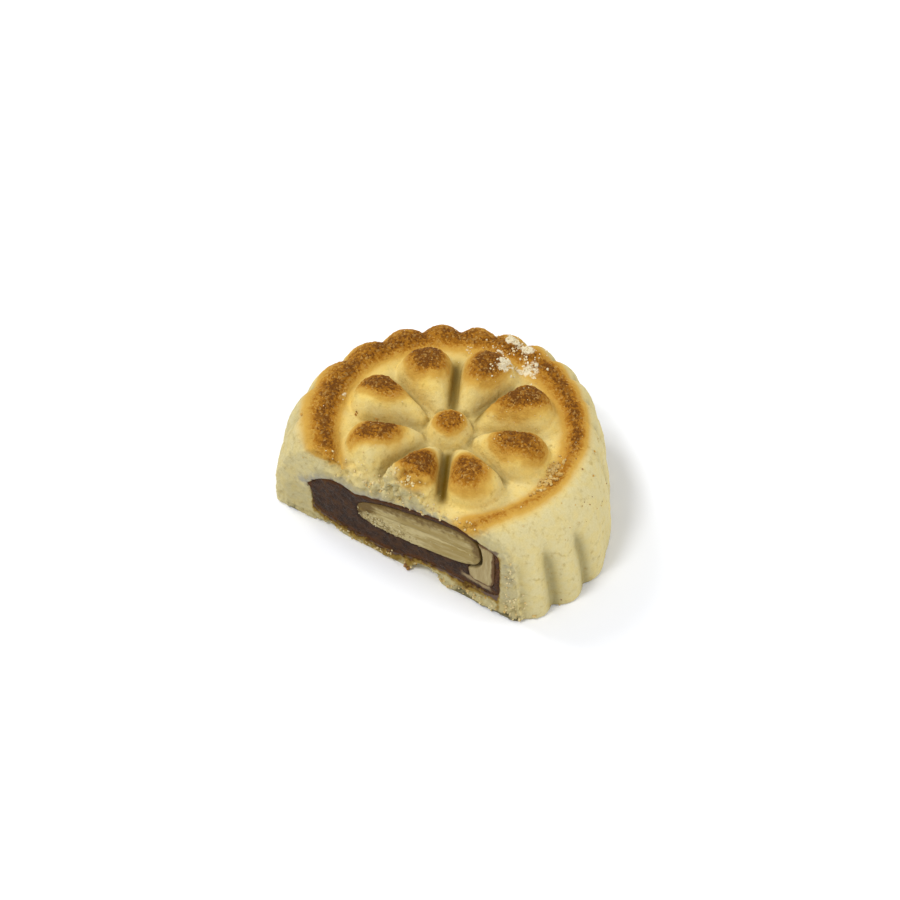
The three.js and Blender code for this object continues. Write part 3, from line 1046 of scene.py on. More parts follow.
@dataclass(frozen=True)
class DatePaste:
    """Dark sticky paste, redder towards its edges, with paler fibres and sugar grains."""

    middle: Colour = (0.062, 0.03, 0.015)
    deep: Colour = (0.03, 0.014, 0.007)
    edge: Colour = (0.09, 0.032, 0.007)
    fleck: Colour = (0.13, 0.075, 0.035)
    smudge: Colour = (0.34, 0.25, 0.13)
    surface: Surface = Surface(rough=None, gloss=0.08, strength=0.9, relief=0.25)

    def material(self, effects: Effects) -> bpy.types.Material:
        """Builds the material from the shared node groups."""
        material, wires, shader = start_material("date_paste")
        place = wires.place()
        grain = wires.group(effects.grain, {"Place": place, "Coarse": 900.0, "Fine": 2600.0})
        colour = wires.mix(wires.step(grain.outputs["Mottle"], 0.35, 0.65), self.deep, self.middle)
        colour = wires.mix(wires.step(grain.outputs["Height"], 0.57, 0.66, 0.45), colour, self.fleck)
        rim = wires.calc("MULTIPLY", wires.zone(Zone.STAIN), wires.step(grain.outputs["Mottle"], 0.25, 0.6))
        colour = wires.mix(rim, colour, self.edge)
        smudge = wires.blurred(Zone.SMUDGE, wires.off_middle(grain.outputs["Mottle"]), 1.2)
        colour = wires.mix(wires.step(smudge, 0.2, 0.9, 0.9), colour, self.smudge)
        wires.tree.links.new(wires.step(grain.outputs["Height"], 0.3, 0.7, 0.85), shader.inputs["Roughness"])
        self.surface.put_on(wires, shader, colour, grain.outputs["Height"])
        return material


@dataclass(frozen=True)
class AlmondFlesh:
    """Sliced almond: pale flesh with streaks along the nut and a painted highlight along its split, darker
    where the skin was.
    """

    flesh: Colour = (0.31, 0.225, 0.07)
    light: Colour = (0.5, 0.41, 0.195)
    dark: Colour = (0.13, 0.075, 0.015)
    name: str = "almond_flesh"
    turn: float = 9.0
    upright: bool = False
    surface: Surface = Surface(rough=0.62, gloss=0.2, strength=0.7, relief=0.12)

    def material(self, effects: Effects) -> bpy.types.Material:
        """Builds the material from the shared node groups."""
        material, wires, shader = start_material(self.name)
        place = wires.place()
        stretch = (1.0, 1.0, 0.16) if self.upright else (0.14, 1.0, 1.0)
        rotation = (0.0, math.radians(self.turn), 0.0)
        turned = wires.put("ShaderNodeMapping", {"Vector": place, "Rotation": rotation}).outputs["Vector"]
        drawn = wires.put("ShaderNodeMapping", {"Vector": turned, "Scale": stretch}).outputs["Vector"]
        grain = wires.group(effects.grain, {"Place": drawn, "Coarse": 2000.0, "Fine": 6500.0})
        fine = wires.group(effects.grain, {"Place": place, "Coarse": 1400.0, "Fine": 4500.0})
        colour = wires.mix(wires.step(grain.outputs["Mottle"], 0.35, 0.7, 0.5), self.flesh, self.light)
        # Pale streaks, and the painted highlight along the split
        streaks_and_highlight = wires.calc("ADD", wires.zone(Zone.STREAK_AND_HIGHLIGHT), wires.off_middle(grain.outputs["Height"], 2.4))
        colour = wires.mix(wires.step(streaks_and_highlight, 0.3, 0.9), colour, self.light)
        skin = wires.calc("ADD", wires.zone(Zone.STAIN), wires.off_middle(fine.outputs["Mottle"]))
        colour = wires.mix(wires.step(skin, 0.3, 0.85, 0.95), colour, self.dark)
        finer = wires.calc("MULTIPLY", fine.outputs["Height"], 0.5)
        height = wires.calc("ADD", grain.outputs["Height"], finer)
        self.surface.put_on(wires, shader, colour, height)
        return material


@dataclass(frozen=True)
class Crumb:
    """Loose crumbs: each its own shade between two colours, browned or not."""

    name: str
    pale: Colour
    dark: Colour
    toast: float = 0.0
    surface: Surface = Surface(rough=0.85, gloss=None, strength=0.5, relief=0.06)

    def material(self, effects: Effects) -> bpy.types.Material:
        """Builds the material from the shared node groups."""
        material, wires, shader = start_material(self.name)
        place = wires.place()
        grain = wires.group(effects.grain, {"Place": place, "Coarse": 2500.0, "Fine": 6000.0})
        shade = wires.calc("ADD", wires.zone(Zone.SHADE), wires.off_middle(grain.outputs["Mottle"]))
        raw = wires.mix(wires.step(shade, 0.0, 1.0), self.pale, self.dark)
        toast = wires.calc("MULTIPLY", shade, self.toast, clamp=True)
        inputs = {"Place": place, "Raw": raw, "Toast": toast, "Light Grains": 0.2}
        toasted = wires.group(effects.toasting, inputs).outputs["Color"]
        self.surface.put_on(wires, shader, toasted, grain.outputs["Height"])
        return material


# ------------------------------------------------------------------------------------------------ dough


@dataclass(frozen=True)
class Patch:
    """Browned patch on one petal: its middle and half sizes along and across the petal."""

    along: float
    across: float
    half_length: float
    half_width: float
    strength: float

    def reach(self, along: Array, across: Array) -> Array:
        """How far from the middle a spot lies: 1 at the half sizes."""
        return np.hypot((along - self.along) / self.half_length, (across - self.across) / self.half_width)


@dataclass(frozen=True)
class Browning:
    """Where the oven browned the crust."""

    patches: tuple[Patch, ...] = (
        Patch(11.1, 0.2, 4.3, 2.9, 0.91),
        Patch(10.9, 0.5, 4.8, 3.0, 1.0),
        Patch(11.5, 0.0, 4.2, 2.8, 1.0),
        Patch(11.5, -0.2, 3.7, 3.0, 1.0),
        Patch(11.2, -0.7, 4.1, 2.4, 0.97),
        Patch(10.7, -0.4, 3.9, 2.3, 1.0),
        Patch(10.3, 0.3, 3.9, 2.8, 1.0),
        Patch(10.8, -0.6, 3.6, 2.9, 0.87),
    )
    darker_towards: float = 124.0
    darker_by: float = 0.06
    button: float = 0.86
    button_r: float = 2.3
    ring_r: float = 17.9
    ring_dent: Swell = Swell(214, 30, -0.6)
    ring_inner: float = 1.6
    ring_wide: Swell = Swell(92, 55, 1.1)
    ring_outer: float = 1.35
    ring_behind: Swell = Swell(160, 62, 2.9)
    ring_least: float = 0.6
    ring_most: float = 0.87
    ring_from: Ramp = Ramp(8.0, 28.0)
    ring_until: Ramp = Ramp(252.0, 236.0)
    ring_level: Ramp = Ramp(12.6, 14.4)
    petal_level: Ramp = Ramp(15.2, 16.8)
    patch_edge: Ramp = Ramp(1.45, 0.4)
    halo_edge: Ramp = Ramp(1.65, 0.9)
    button_halo: float = 2.4
    golden_level: Ramp = Ramp(13.2, 15.8)
    golden_rim: Ramp = Ramp(21.0, 18.6)
    inside_ring: Ramp = Ramp(18.5, 16.5)
    left_side: Swell = Swell(175, 40, 1.0)
    moat: Hill = Hill(15.9, 1.9)
    moat_back: float = 140.0
    moat_sides: Ramp = Ramp(85.0, 45.0)
    front_ring: Hill = Hill(17.9, 1.6)
    front_side: Swell = Swell(-35, 40, 1.0)

    def ring_share(self, angle: Array) -> Array:
        """How brown the ring is at a direction."""
        strong = self.ring_from.at(angle % 360.0) * self.ring_until.at(angle % 360.0)
        return self.ring_least + (self.ring_most - self.ring_least) * strong

    def toast(self, points: Array, flower: Flower, noise: Noise) -> Array:
        """How brown each spot of the crust is.

        Args:
            points: Spots of the crust.
            flower: The pressed flower.
            noise: Unevenness of the browning.

        Returns:
            0 where it is raw to 1 where it is darkest.
        """
        r, angle = polar(points)
        blotch = 0.11 * noise.rough(points, 2.2) + 0.06 * noise.smooth(points, 0.6)
        height = self.petal_level.at(points[:, 2])
        toast = self.button * ease(r + blotch * 2, self.button_r * 1.35, self.button_r * 0.5) * height
        for centre, patch in zip(flower.angles(), self.patches):
            along, across = flower.local(points, centre)
            turn = math.radians(centre - self.darker_towards)
            aside = (along - patch.along) * math.cos(turn) - (across - patch.across) * math.sin(turn)
            uneven = 1.0 + self.darker_by * aside
            inside = self.patch_edge.at(patch.reach(along, across) + blotch)
            toast = np.maximum(toast, patch.strength * uneven * inside * height)
        offset = r - self.ring_r - self.ring_dent.at(angle)
        outer = np.maximum(offset, 0) / (self.ring_outer + self.ring_behind.at(angle))
        inner = np.minimum(offset, 0) / (self.ring_inner + self.ring_wide.at(angle))
        band = hump(inner, 1.0) * hump(outer, 1.0)
        patchy = 0.45 * ease(self.ring_share(angle), 0.9, 0.5) * noise.rough(points + 20.0, 2.6)
        mottled = self.ring_share(angle) * band * (1.05 + 1.3 * blotch + patchy)
        return np.clip(np.maximum(toast, mottled * self.ring_level.at(points[:, 2])), 0.0, 1.0)

    def gold(self, points: Array, flower: Flower, noise: Noise) -> Array:
        """How golden the raw crust is: 0 on the side, more on the top, most round the browned patches.

        Args:
            points: Spots of the crust.
            flower: The pressed flower.
            noise: Unevenness of the colour.

        Returns:
            0 where it is palest to 1 where it is most golden.
        """
        r, angle = polar(points)
        left = self.left_side.at(angle)
        lifted = points[:, 2] + 4.5 * left + 3.0 * self.inside_ring.at(r)
        top = self.golden_level.at(lifted) * self.golden_rim.at(r - 3.0 * left)
        moat = self.moat.at(r) * (0.25 + 0.75 * self.moat_sides.at(np.abs(swing(angle, self.moat_back))))
        halo = hump(r, self.button_halo)
        for centre, patch in zip(flower.angles(), self.patches):
            along, across = flower.local(points, centre)
            halo = np.maximum(halo, self.halo_edge.at(patch.reach(along, across)))
        front = self.front_ring.at(r) * self.front_side.at(angle)
        shade = 0.45 + 0.45 * np.maximum.reduce([moat, halo, front]) + 0.25 * noise.smooth(points, 3.0)
        return top * np.clip(shade, 0.0, 1.0)


@dataclass(frozen=True)
class Tearing:
    """Where the crust tore along the cut: deepest in the middle, a little from end to end."""

    middle: Hill = Hill(-0.5, 5.0)
    middle_depth: Ramp = behind_cut(3.3, 1.2)
    amount_along: float = 0.6
    left: Ramp = Ramp(-15.0, -12.0)
    right: Ramp = Ramp(16.0, 13.0)
    depth: Ramp = behind_cut(1.5, 0.3)
    level: Ramp = Ramp(11.0, 12.4)

    def share(self, points: Array) -> Array:
        """Share to which points belong to the torn crust."""
        x, y, z = points.T
        middle = self.middle.at(x) * self.middle_depth.at(y)
        along = self.amount_along * self.left.at(x) * self.right.at(x) * self.depth.at(y)
        return np.maximum(middle, along) * self.level.at(z)


@dataclass
class Dough:
    """The baked dough: pressed round, cut off at the front, with the room of the paste inside."""

    form: Round = Round()
    paste: PasteForm = PasteForm()
    browning: Browning = Browning()
    tearing: Tearing = Tearing()
    skin: float = 0.218
    keep_hidden: float = 0.08
    keep_plain: float = 0.28
    noise: Noise = Noise(11)
    cut_depth: Ramp = behind_cut(1.5, 0.3)
    cut_facing: Ramp = Ramp(0.05, 0.85)
    edge_depth: Ramp = behind_cut(1.4, 0.2)
    mark_depth: Ramp = behind_cut(1.6, 0.4)
    calm_depth: Ramp = behind_cut(2.5, 1.0)
    calm_above: Ramp = Ramp(0.15, 1.1)
    calm_below: Ramp = Ramp(0.1, 0.7)
    calm_beside: Ramp = Ramp(16.1, 17.0)
    crumbly_level: Ramp = Ramp(10.0, 11.5)
    crumbly_left: Ramp = Ramp(-12.0, -9.0)
    crumbly_right: Ramp = Ramp(13.0, 9.0)
    stain_left: Ramp = Ramp(-14.9, -14.0)
    stain_right: Ramp = Ramp(17.9, 17.1)
    stain_below: Ramp = Ramp(1.7, 0.0)
    stain_beside: Hill = Hill(17.25, 0.3)
    smear_above: Ramp = Ramp(2.2, 0.1)
    smear_level: Ramp = Ramp(6.0, 7.5)
    smear_left: Ramp = Ramp(-18.0, -15.5)
    smear_right: Ramp = Ramp(12.0, 6.0)
    less_when_torn: float = 0.6
    chips: tuple[tuple[float, float, float, float], ...] = ((5.1, 5.2, 2.6, 3.4), (-11.5, 4.6, 1.8, 1.3))
    runs: tuple[tuple[float, float, float], ...] = ((-1.2, 2.2, 0.5), (2.6, 0.8, 0.9), (11.8, 0.8, 1.1))
    dusted: tuple[tuple[float, float, float, float, float], ...] = (
        (-1.7, 18.8, 1.7, 1.0, 0.95),
        (0.9, 18.5, 1.4, 0.9, 0.85),
        (0.8, 12.9, 1.1, 1.9, 0.9),
        (2.7, 15.6, 1.6, 1.6, 0.95),
        (-2.4, 16.3, 1.2, 0.4, 0.6),
        (-6.5, 14.2, 0.5, 0.5, 0.6),
        (-15.9, -2.9, 0.4, 0.8, 0.6),
    )

    def build(self, material: bpy.types.Material) -> bpy.types.Object:
        """Makes, roughens, marks and dresses the dough.

        Args:
            material: Its finish.

        Returns:
            The piece.
        """
        obj = self.pressed_round()
        slice_front(obj, CUT_Y)
        carve(obj, paste_lump("cavity", self.form, self.paste, 0.05), *self.broken_off())
        reskin(obj, self.skin)
        relax(obj, 1)
        relax(obj, 14, self.edge_of_cut(spots(obj)))
        thin_out(obj, self.hidden(spots(obj)), self.keep_hidden)
        thin_out(obj, self.plain(spots(obj)), self.keep_plain)
        self.roughen(obj)
        self.mark_zones(obj)
        return finish(obj, material, Slot.DOUGH, ("dough",))

    def pressed_round(self) -> bpy.types.Object:
        """The round before the cut."""
        f = self.form
        profile = [(r, 0.0) for r in np.linspace(0.0, f.base_r - f.foot_r, 12)]
        for share in (0.3, 0.65):
            profile.append((f.base_r, f.foot_r * share))
        for i in range(60, 0, -1):
            a = math.pi / 2 * (1 - i / 60)
            out, up = math.cos(a) ** (2 / f.shoulder), math.sin(a) ** (2 / f.shoulder)
            profile.append((f.rim_r + (f.base_r - f.rim_r) * out, f.foot_r + (f.rim_z - f.foot_r) * up))
        profile += [(r, f.rim_z) for r in np.linspace(f.rim_r, 0.0, 92)]
        obj = spun("dough_crust", profile, 400)
        reshape(obj, f.shape(spots(obj)))
        return obj

    def broken_off(self) -> list[bpy.types.Object]:
        """Bodies of what has crumbled off the bottom edge at the cut."""
        tools = []
        for x, width, depth, height in self.chips:
            bm = bmesh.new()
            bmesh.ops.create_icosphere(bm, subdivisions=4, radius=0.5)
            bmesh.ops.scale(bm, vec=(width, 2 * depth, height), verts=bm.verts)
            bmesh.ops.translate(bm, vec=(x, CUT_Y, 0.0), verts=bm.verts)
            tools.append(placed("chip", bm))
        return tools

    def hidden(self, points: Array) -> Array:
        """Whether points lie in the room of the paste or under the base."""
        r, angle = polar(points)
        deep = (points[:, 2] < self.form.top(points) - 1.0) & (r < self.form.side(points[:, 2], angle) - 0.8)
        inside = deep & (points[:, 1] > CUT_Y + 1.5) & (points[:, 2] > 0.5)
        under = (points[:, 2] < 0.12) & (points[:, 1] > CUT_Y + 1.5)
        return inside | (under & (r < self.form.side(points[:, 2], angle) - 1.2))

    def plain(self, points: Array) -> Array:
        """Whether points lie on the smooth side, below its browned shoulder."""
        r, angle = polar(points)
        wall = r > self.form.side(points[:, 2], angle) - 1.0
        return wall & (points[:, 2] < 11.5) & (points[:, 1] > CUT_Y + 2.0)

    def edge_of_cut(self, points: Array) -> Array:
        """Whether points lie near the outer edge of the cut, which the knife rounded."""
        r, angle = polar(points)
        skin = np.minimum(self.form.top(points) - points[:, 2], self.form.side(points[:, 2], angle) - r)
        return (points[:, 1] < CUT_Y + 0.9) & (skin < 0.9) & (points[:, 2] > 1.0)

    def at_cut(self, points: Array, facing: Array) -> Array:
        """Share to which points belong to the cut face."""
        return self.cut_depth.at(points[:, 1]) * self.cut_facing.at(-facing[:, 1])

    def calm(self, points: Array) -> Array:
        """0 at the room of the paste, whose edge stays clean at the cut, and 1 away from it."""
        x, y, z = points.T
        low, high = self.paste.heights(x)
        apart = np.where(z > (low + high) / 2, self.calm_above.at(z - high), self.calm_below.at(low - z))
        apart = np.maximum(apart, self.calm_beside.at(np.abs(x - self.paste.x)))
        return 1.0 - (1.0 - apart) * self.calm_depth.at(y)

    def roughen(self, obj: bpy.types.Object) -> None:
        """Gives the skin its lumps, grains, crumbs and tears."""
        points, facing, noise = spots(obj), facings(obj), self.noise
        toast = self.browning.toast(points, self.form.flower, noise)
        cut, calm, flour = self.at_cut(points, facing), self.calm(points), self.floured(points)
        x, y, z = points.T
        near = self.edge_depth.at(y)
        foot = near * ease(z, 2.6, 1.2)
        corner = near * ease(x, 17.6, 18.6) * (1.0 + 0.6 * ease(z, 6.5, 4.0))
        sand = 0.45 - np.clip(noise.grains(points, 0.5), 0.0, 0.9)
        grain = 0.42 - np.clip(noise.grains(points, 0.68), 0.0, 0.8)
        lumps = 0.5 - np.clip(noise.grains(points, 1.15), 0.0, 0.9)
        pits = ease(noise.rough(points + 40.0, 1.2, 2), 0.15, 0.55)
        push = 0.1 * noise.smooth(points, 4.5) + 0.06 * noise.smooth(points, 1.7)
        push += 0.05 * noise.rough(points, 0.8, 2) + 0.05 * sand
        push += toast * (0.26 * grain + 0.1 * noise.smooth(points, 0.45))
        torn = self.tearing.share(points) * calm
        push += cut * calm * (0.15 * noise.rough(points, 0.9) + 0.16 * sand)
        crumbly = cut * calm * self.crumbly_level.at(z) * self.crumbly_left.at(x) * self.crumbly_right.at(x)
        push += crumbly * (0.42 * lumps + 0.12 * noise.rough(points, 0.7, 2) - 0.2 * pits)
        push += torn * (0.9 * lumps + 0.3 * noise.rough(points, 1.1) - 0.75 * pits)
        push += np.maximum(foot, corner) * (0.55 * lumps + 0.25 * noise.rough(points, 0.8) - 0.3 * pits)
        crumbed = hump(np.hypot((x - 17.1) / 1.1, (y - 1.2) / 2.6), 1.0) * ease(z, 13.5, 14.5)
        push += crumbed * (0.5 * lumps + 0.3 * sand)
        clumps = 0.16 + 0.45 * grain + 0.3 * lumps + 0.2 * noise.rough(points, 0.6, 2)
        push += ease(flour, 0.3, 0.6) * clumps
        push *= ease(z, 0.0, 0.5)
        moved = points + facing * push[:, None]
        moved[:, 2] = np.maximum(moved[:, 2], 0.0)
        reshape(obj, moved)

    def mark_zones(self, obj: bpy.types.Object) -> None:
        """Writes what each spot of the dough looks like."""
        points, facing, noise = spots(obj), facings(obj), self.noise
        x, y, z = points.T
        low, high = self.paste.heights(x)
        cut, torn = self.at_cut(points, facing), self.tearing.share(points)
        front = self.mark_depth.at(y)
        soaked = 0.85 + 0.3 * ease(x, 3.0, 0.0)
        for middle, spread, deeper in self.runs:
            soaked = soaked + deeper * hump(x - middle, spread)
        soaked += 0.35 * noise.rough(points, 1.5)
        across = self.stain_left.at(x) * self.stain_right.at(x)
        below = self.stain_below.at((low - z) / soaked) * ease(z - high, 0.0, -1.0) * across
        beside = 0.35 * self.stain_beside.at(x) * ease(z, 12.0, 6.0)
        above = z - high + 0.6 * noise.rough(points, 2.4)
        smear = self.smear_above.at(above) * self.smear_level.at(z)
        smear = smear * self.smear_right.at(x) * self.smear_left.at(x)
        smear = np.maximum(smear, 0.4 * hump(x - 18.8, 1.0) * ease(z, 2.0, 6.0))
        # Painted shadow along the bottom edge of the cut, where the base lifts off the floor
        underside_shadow = np.maximum(ease(x, 8.5, 11.5), hump(x + 17.5, 1.2)) * ease(z, 1.0, 0.3) * front
        kept = 1 - self.less_when_torn * torn
        mark(obj, Zone.TOAST, self.browning.toast(points, self.form.flower, noise) * kept)
        mark(obj, Zone.GOLD, self.browning.gold(points, self.form.flower, noise) * kept)
        near_corner = front * ease(x, 17.8, 18.8) * ease(x, 21.6, 20.8) * ease(z, 6.0, 4.0)
        crumb_and_left_shade = cut * ease(x, -20.5, -17.5) * (1.0 - ease(x, -12.5, -15.5) * ease(z, 4.0, 9.0))
        crumb_and_left_shade = crumb_and_left_shade * (1.0 - 0.8 * ease(z, 10.8, 12.2) * ease(x, -3.0, -7.0))
        # Painted shade on the left side below the ring, in the crumb's colour
        crumb_and_left_shade = np.maximum(crumb_and_left_shade, 0.55 * hump(swing(polar(points)[1], 207.0), 28.0) * ease(z, 14.8, 13.8))
        mark(obj, Zone.CUT, np.maximum(crumb_and_left_shade, 0.4 * torn))
        mark(obj, Zone.STAIN, np.maximum(below, beside) * front)
        mark(obj, Zone.SHADE, smear * cut * (1.0 - 0.5 * torn))
        apart = np.maximum.reduce([z - high, low - z, np.abs(x - self.paste.x) - 16.0])
        mark(obj, Zone.SMUDGE, ease(apart + 0.35 * noise.rough(points, 0.8), 0.55, 0.0) * cut)
        mark(obj, Zone.UNDER_EDGE_SHADOW, underside_shadow)
        mark(obj, Zone.FLOUR, self.floured(points))
        # Painted shade in the pits near the right corner of the cut
        chips = ease(noise.rough(points + 40.0, 1.2, 2), 0.1, 0.5) * near_corner
        mark(obj, Zone.CREASE, np.maximum(self.form.crease_shade(points) * (1 - cut), 0.7 * chips))

    def floured(self, points: Array) -> Array:
        """Where flour lies on the crust, as a film."""
        film = np.zeros(len(points))
        for x, y, spread_x, spread_y, amount in self.dusted:
            spot = hump(np.hypot((points[:, 0] - x) / spread_x, (points[:, 1] - y) / spread_y), 1.0)
            film = np.maximum(film, amount * spot)
        return film * (0.85 + 0.5 * self.noise.rough(points, 0.9)) * ease(points[:, 2], 12.5, 14.0)


def paste_lump(name: str, outside: Round, form: PasteForm, margin: float) -> bpy.types.Object:
    """The lump of paste before the cut.

    Args:
        name: Name of the object.
        outside: The round that it lies in.
        form: Its form.
        margin: How much larger it is made on every side.

    Returns:
        The lump, an object in millimetres.
    """
    profile = []
    rows = 40
    for i in range(rows + 1):
        a = math.pi * (i / rows - 0.5)
        out = abs(math.cos(a)) ** (2 / form.squareness) if 0 < i < rows else 0.0
        up = math.copysign(abs(math.sin(a)) ** (2 / form.squareness), a)
        profile.append(((form.radius + margin) * out, up))
    lump = spun(name, profile, 240)
    reshape(lump, form.shape(outside, margin)(spots(lump)))
    return lump


def nut_body(name: str, form: NutForm, margin: float) -> bpy.types.Object:
    """A whole nut about the cut, grown by a margin."""
    bm = bmesh.new()
    bmesh.ops.create_uvsphere(bm, u_segments=96, v_segments=64, radius=1.0)
    bmesh.ops.rotate(bm, matrix=Matrix.Rotation(math.pi / 2, 3, "Y"), verts=bm.verts)
    obj = placed(name, bm)
    reshape(obj, form.shape(margin)(spots(obj)))
    return obj


# ---------------------------------------------------------------------------------------------- filling


@dataclass
class Filling:
    """The date paste, from the cut to the back of its room, with the nuts pressed in."""

    outside: Round = Round()
    form: PasteForm = PasteForm()
    skin: float = 0.24
    keep_hidden: float = 0.08
    recess: float = 0.06
    overlap: float = 0.04
    noise: Noise = Noise(29)
    front_depth: Ramp = behind_cut(1.0, 0.5)
    front_facing: Ramp = Ramp(0.1, 0.6)

    def build(self, material: bpy.types.Material) -> bpy.types.Object:
        """Makes, roughens, marks and dresses the paste."""
        obj = paste_lump("date_paste", self.outside, self.form, 0.12)
        slice_front(obj, CUT_Y + self.recess)
        carve(obj, *(nut_body("pocket", form, -self.overlap) for form in (LONG_NUT, SHORT_NUT)))
        reskin(obj, self.skin)
        relax(obj, 1)
        thin_out(obj, spots(obj)[:, 1] > CUT_Y + 1.6, self.keep_hidden)
        self.roughen(obj)
        self.mark_zones(obj)
        return finish(obj, material, Slot.PASTE, ("date_filling",))

    def roughen(self, obj: bpy.types.Object) -> None:
        """Gives the cut its lumps and grains."""
        points, facing = spots(obj), facings(obj)
        front = self.front_depth.at(points[:, 1]) * self.front_facing.at(-facing[:, 1])
        grain = 0.45 - np.clip(self.noise.grains(points, 0.8), 0, 0.9)
        push = 0.12 * self.noise.rough(points, 1.6) + 0.07 * grain
        reshape(obj, points + facing * (push * front)[:, None])

    def mark_zones(self, obj: bpy.types.Object) -> None:
        """Writes where the paste is redder and where dough is smudged over it."""
        x, _, z = spots(obj).T
        low, high = self.form.heights(x)
        edge = np.maximum(ease(z - low, 1.1, 0.2), 0.75 * ease(high - z, 0.5, 0.1))
        right = ease(x, 16.2, 16.7) * (0.5 + 0.5 * ease(z, 5.0, 9.0))
        edge = np.maximum(edge, np.maximum(ease(x, -13.6, -14.7), right))
        mark(obj, Zone.STAIN, edge)
        wedge = ease(x, 10.2, 12.4) * ease(x, 16.4, 15.4)
        mark(obj, Zone.SMUDGE, wedge * hump(z - 4.75 + 0.12 * (x - 12.0), 0.55))


@dataclass
class Nut:
    """An almond cut lengthwise, or a piece of one, with its split and its torn flakes."""

    name: str
    node: str
    form: NutForm
    keep_clear: NutForm | None = None
    skin: float = 0.15
    upright: bool = False
    proud: float = 0.03
    noise: Noise = Noise(41)
    front_depth: Ramp = behind_cut(0.7, 0.3)
    front_facing: Ramp = Ramp(0.2, 0.7)
    split: float = 0.22
    split_half: float = 0.07
    split_ends: Ramp = Ramp(0.95, 0.7)
    flakes: float = 0.34
    worn_rim: Ramp = Ramp(0.82, 1.0)

    def build(self, material: bpy.types.Material) -> bpy.types.Object:
        """Makes, roughens, marks and dresses the nut."""
        obj = nut_body(self.name, self.form, 0.0)
        slice_front(obj, CUT_Y - self.proud)
        if self.keep_clear:
            carve(obj, nut_body("clear", self.keep_clear, PASTE_BETWEEN))
        reskin(obj, self.skin)
        relax(obj, 1)
        self.roughen(obj)
        self.mark_zones(obj)
        return finish(obj, material, Slot.NUT, (self.node,))

    def drawn(self, points: Array, stretch: float) -> Array:
        """Places squeezed along the nut's fibres, so that a pattern on them is drawn out."""
        along, up = self.form.local(points)
        along, up = along * self.form.half_length, up * self.form.half_height
        if self.upright:
            return np.stack([along, points[:, 1], up / stretch], axis=1)
        return np.stack([along / stretch, points[:, 1], up], axis=1)

    def roughen(self, obj: bpy.types.Object) -> None:
        """Gives the cut its fibres, its split and its flakes."""
        points, facing = spots(obj), facings(obj)
        along, up = self.form.local(points)
        front = self.front_depth.at(points[:, 1]) * self.front_facing.at(-facing[:, 1])
        fibres = self.noise.rough(self.drawn(points, 6.0), 0.5, 2)
        push = 0.06 * fibres + 0.05 * self.noise.smooth(points, 2.0)
        if self.upright:
            push += 0.06 * self.noise.smooth(self.drawn(points, 12.0), 0.35)
        else:
            bend = 0.08 - 0.18 * along + 0.05 * self.noise.smooth(self.drawn(points, 4.0), 1.0)
            push -= self.split * hump(up - bend, self.split_half) * self.split_ends.at(np.abs(along))
            flaky = ease(along, 0.05, -0.25) * ease(up, 0.25, -0.05)
            push += flaky * self.flakes * self.noise.rough(self.drawn(points, 2.2), 0.5)
        push -= 0.1 * self.worn_rim.at(self.rim(along, up))
        reshape(obj, points + facing * (push * front)[:, None])

    def rim(self, along: Array, up: Array) -> Array:
        """How near a spot lies to the nut's outline: 0 in the middle, 1 on it."""
        power = self.form.squareness
        return (np.abs(along) ** power + np.abs(up) ** power) ** (1 / power)

    def mark_zones(self, obj: bpy.types.Object) -> None:
        """Writes where the nut is pale, with a painted highlight along its split, and where its skin left a
        stain.
        """
        points = spots(obj)
        along, up = self.form.local(points)
        fibres = self.noise.rough(self.drawn(points, 8.0), 0.6, 2)
        if self.upright:
            light = 0.35 + 0.5 * self.noise.smooth(self.drawn(points, 10.0), 0.45)
            skin = np.maximum(0.9 * ease(along, 0.6, 0.98), 0.8 * ease(self.rim(along, up), 0.75, 1.0))
        else:
            lower = ease(up, 0.25, -0.2) * ease(along, 0.25, -0.15)
            thin = self.noise.rough(self.drawn(points, 12.0), 0.24, 2)
            # Painted highlight along the split
            split_highlight = hump(up - 0.02 + 0.18 * along + 0.1 * fibres, 0.06) * ease(np.abs(along - 0.1), 0.8, 0.6)
            light = np.maximum(0.6 * lower + 0.25, 1.1 * split_highlight) + 0.1 * fibres + 0.35 * thin
            corner = 0.9 * ease(along, -0.5, -0.85) * ease(up, -0.5, 0.3)
            skin = np.maximum(0.72 * ease(up, 0.0, 0.95), corner)
            edge = ease(self.rim(along, up), 0.76, 1.0) * (0.45 + 0.5 * ease(up, -0.9, 0.3))
            skin = np.maximum(skin, edge)
        mark(obj, Zone.STREAK_AND_HIGHLIGHT, light)
        mark(obj, Zone.STAIN, skin)


# ----------------------------------------------------------------------------------------------- crumbs


@dataclass(frozen=True)
class Heap:
    """Crumbs of one sort on one stretch of the surface.

    A heap on top is thrown down on the crust about (x, y), one on the cut is thrown at it about (x, z).
    """

    count: int
    first: float
    second: float
    spread_first: float
    spread_second: float
    size: tuple[float, float]
    on_cut: bool = False
    shade: tuple[float, float] = (0.0, 1.0)


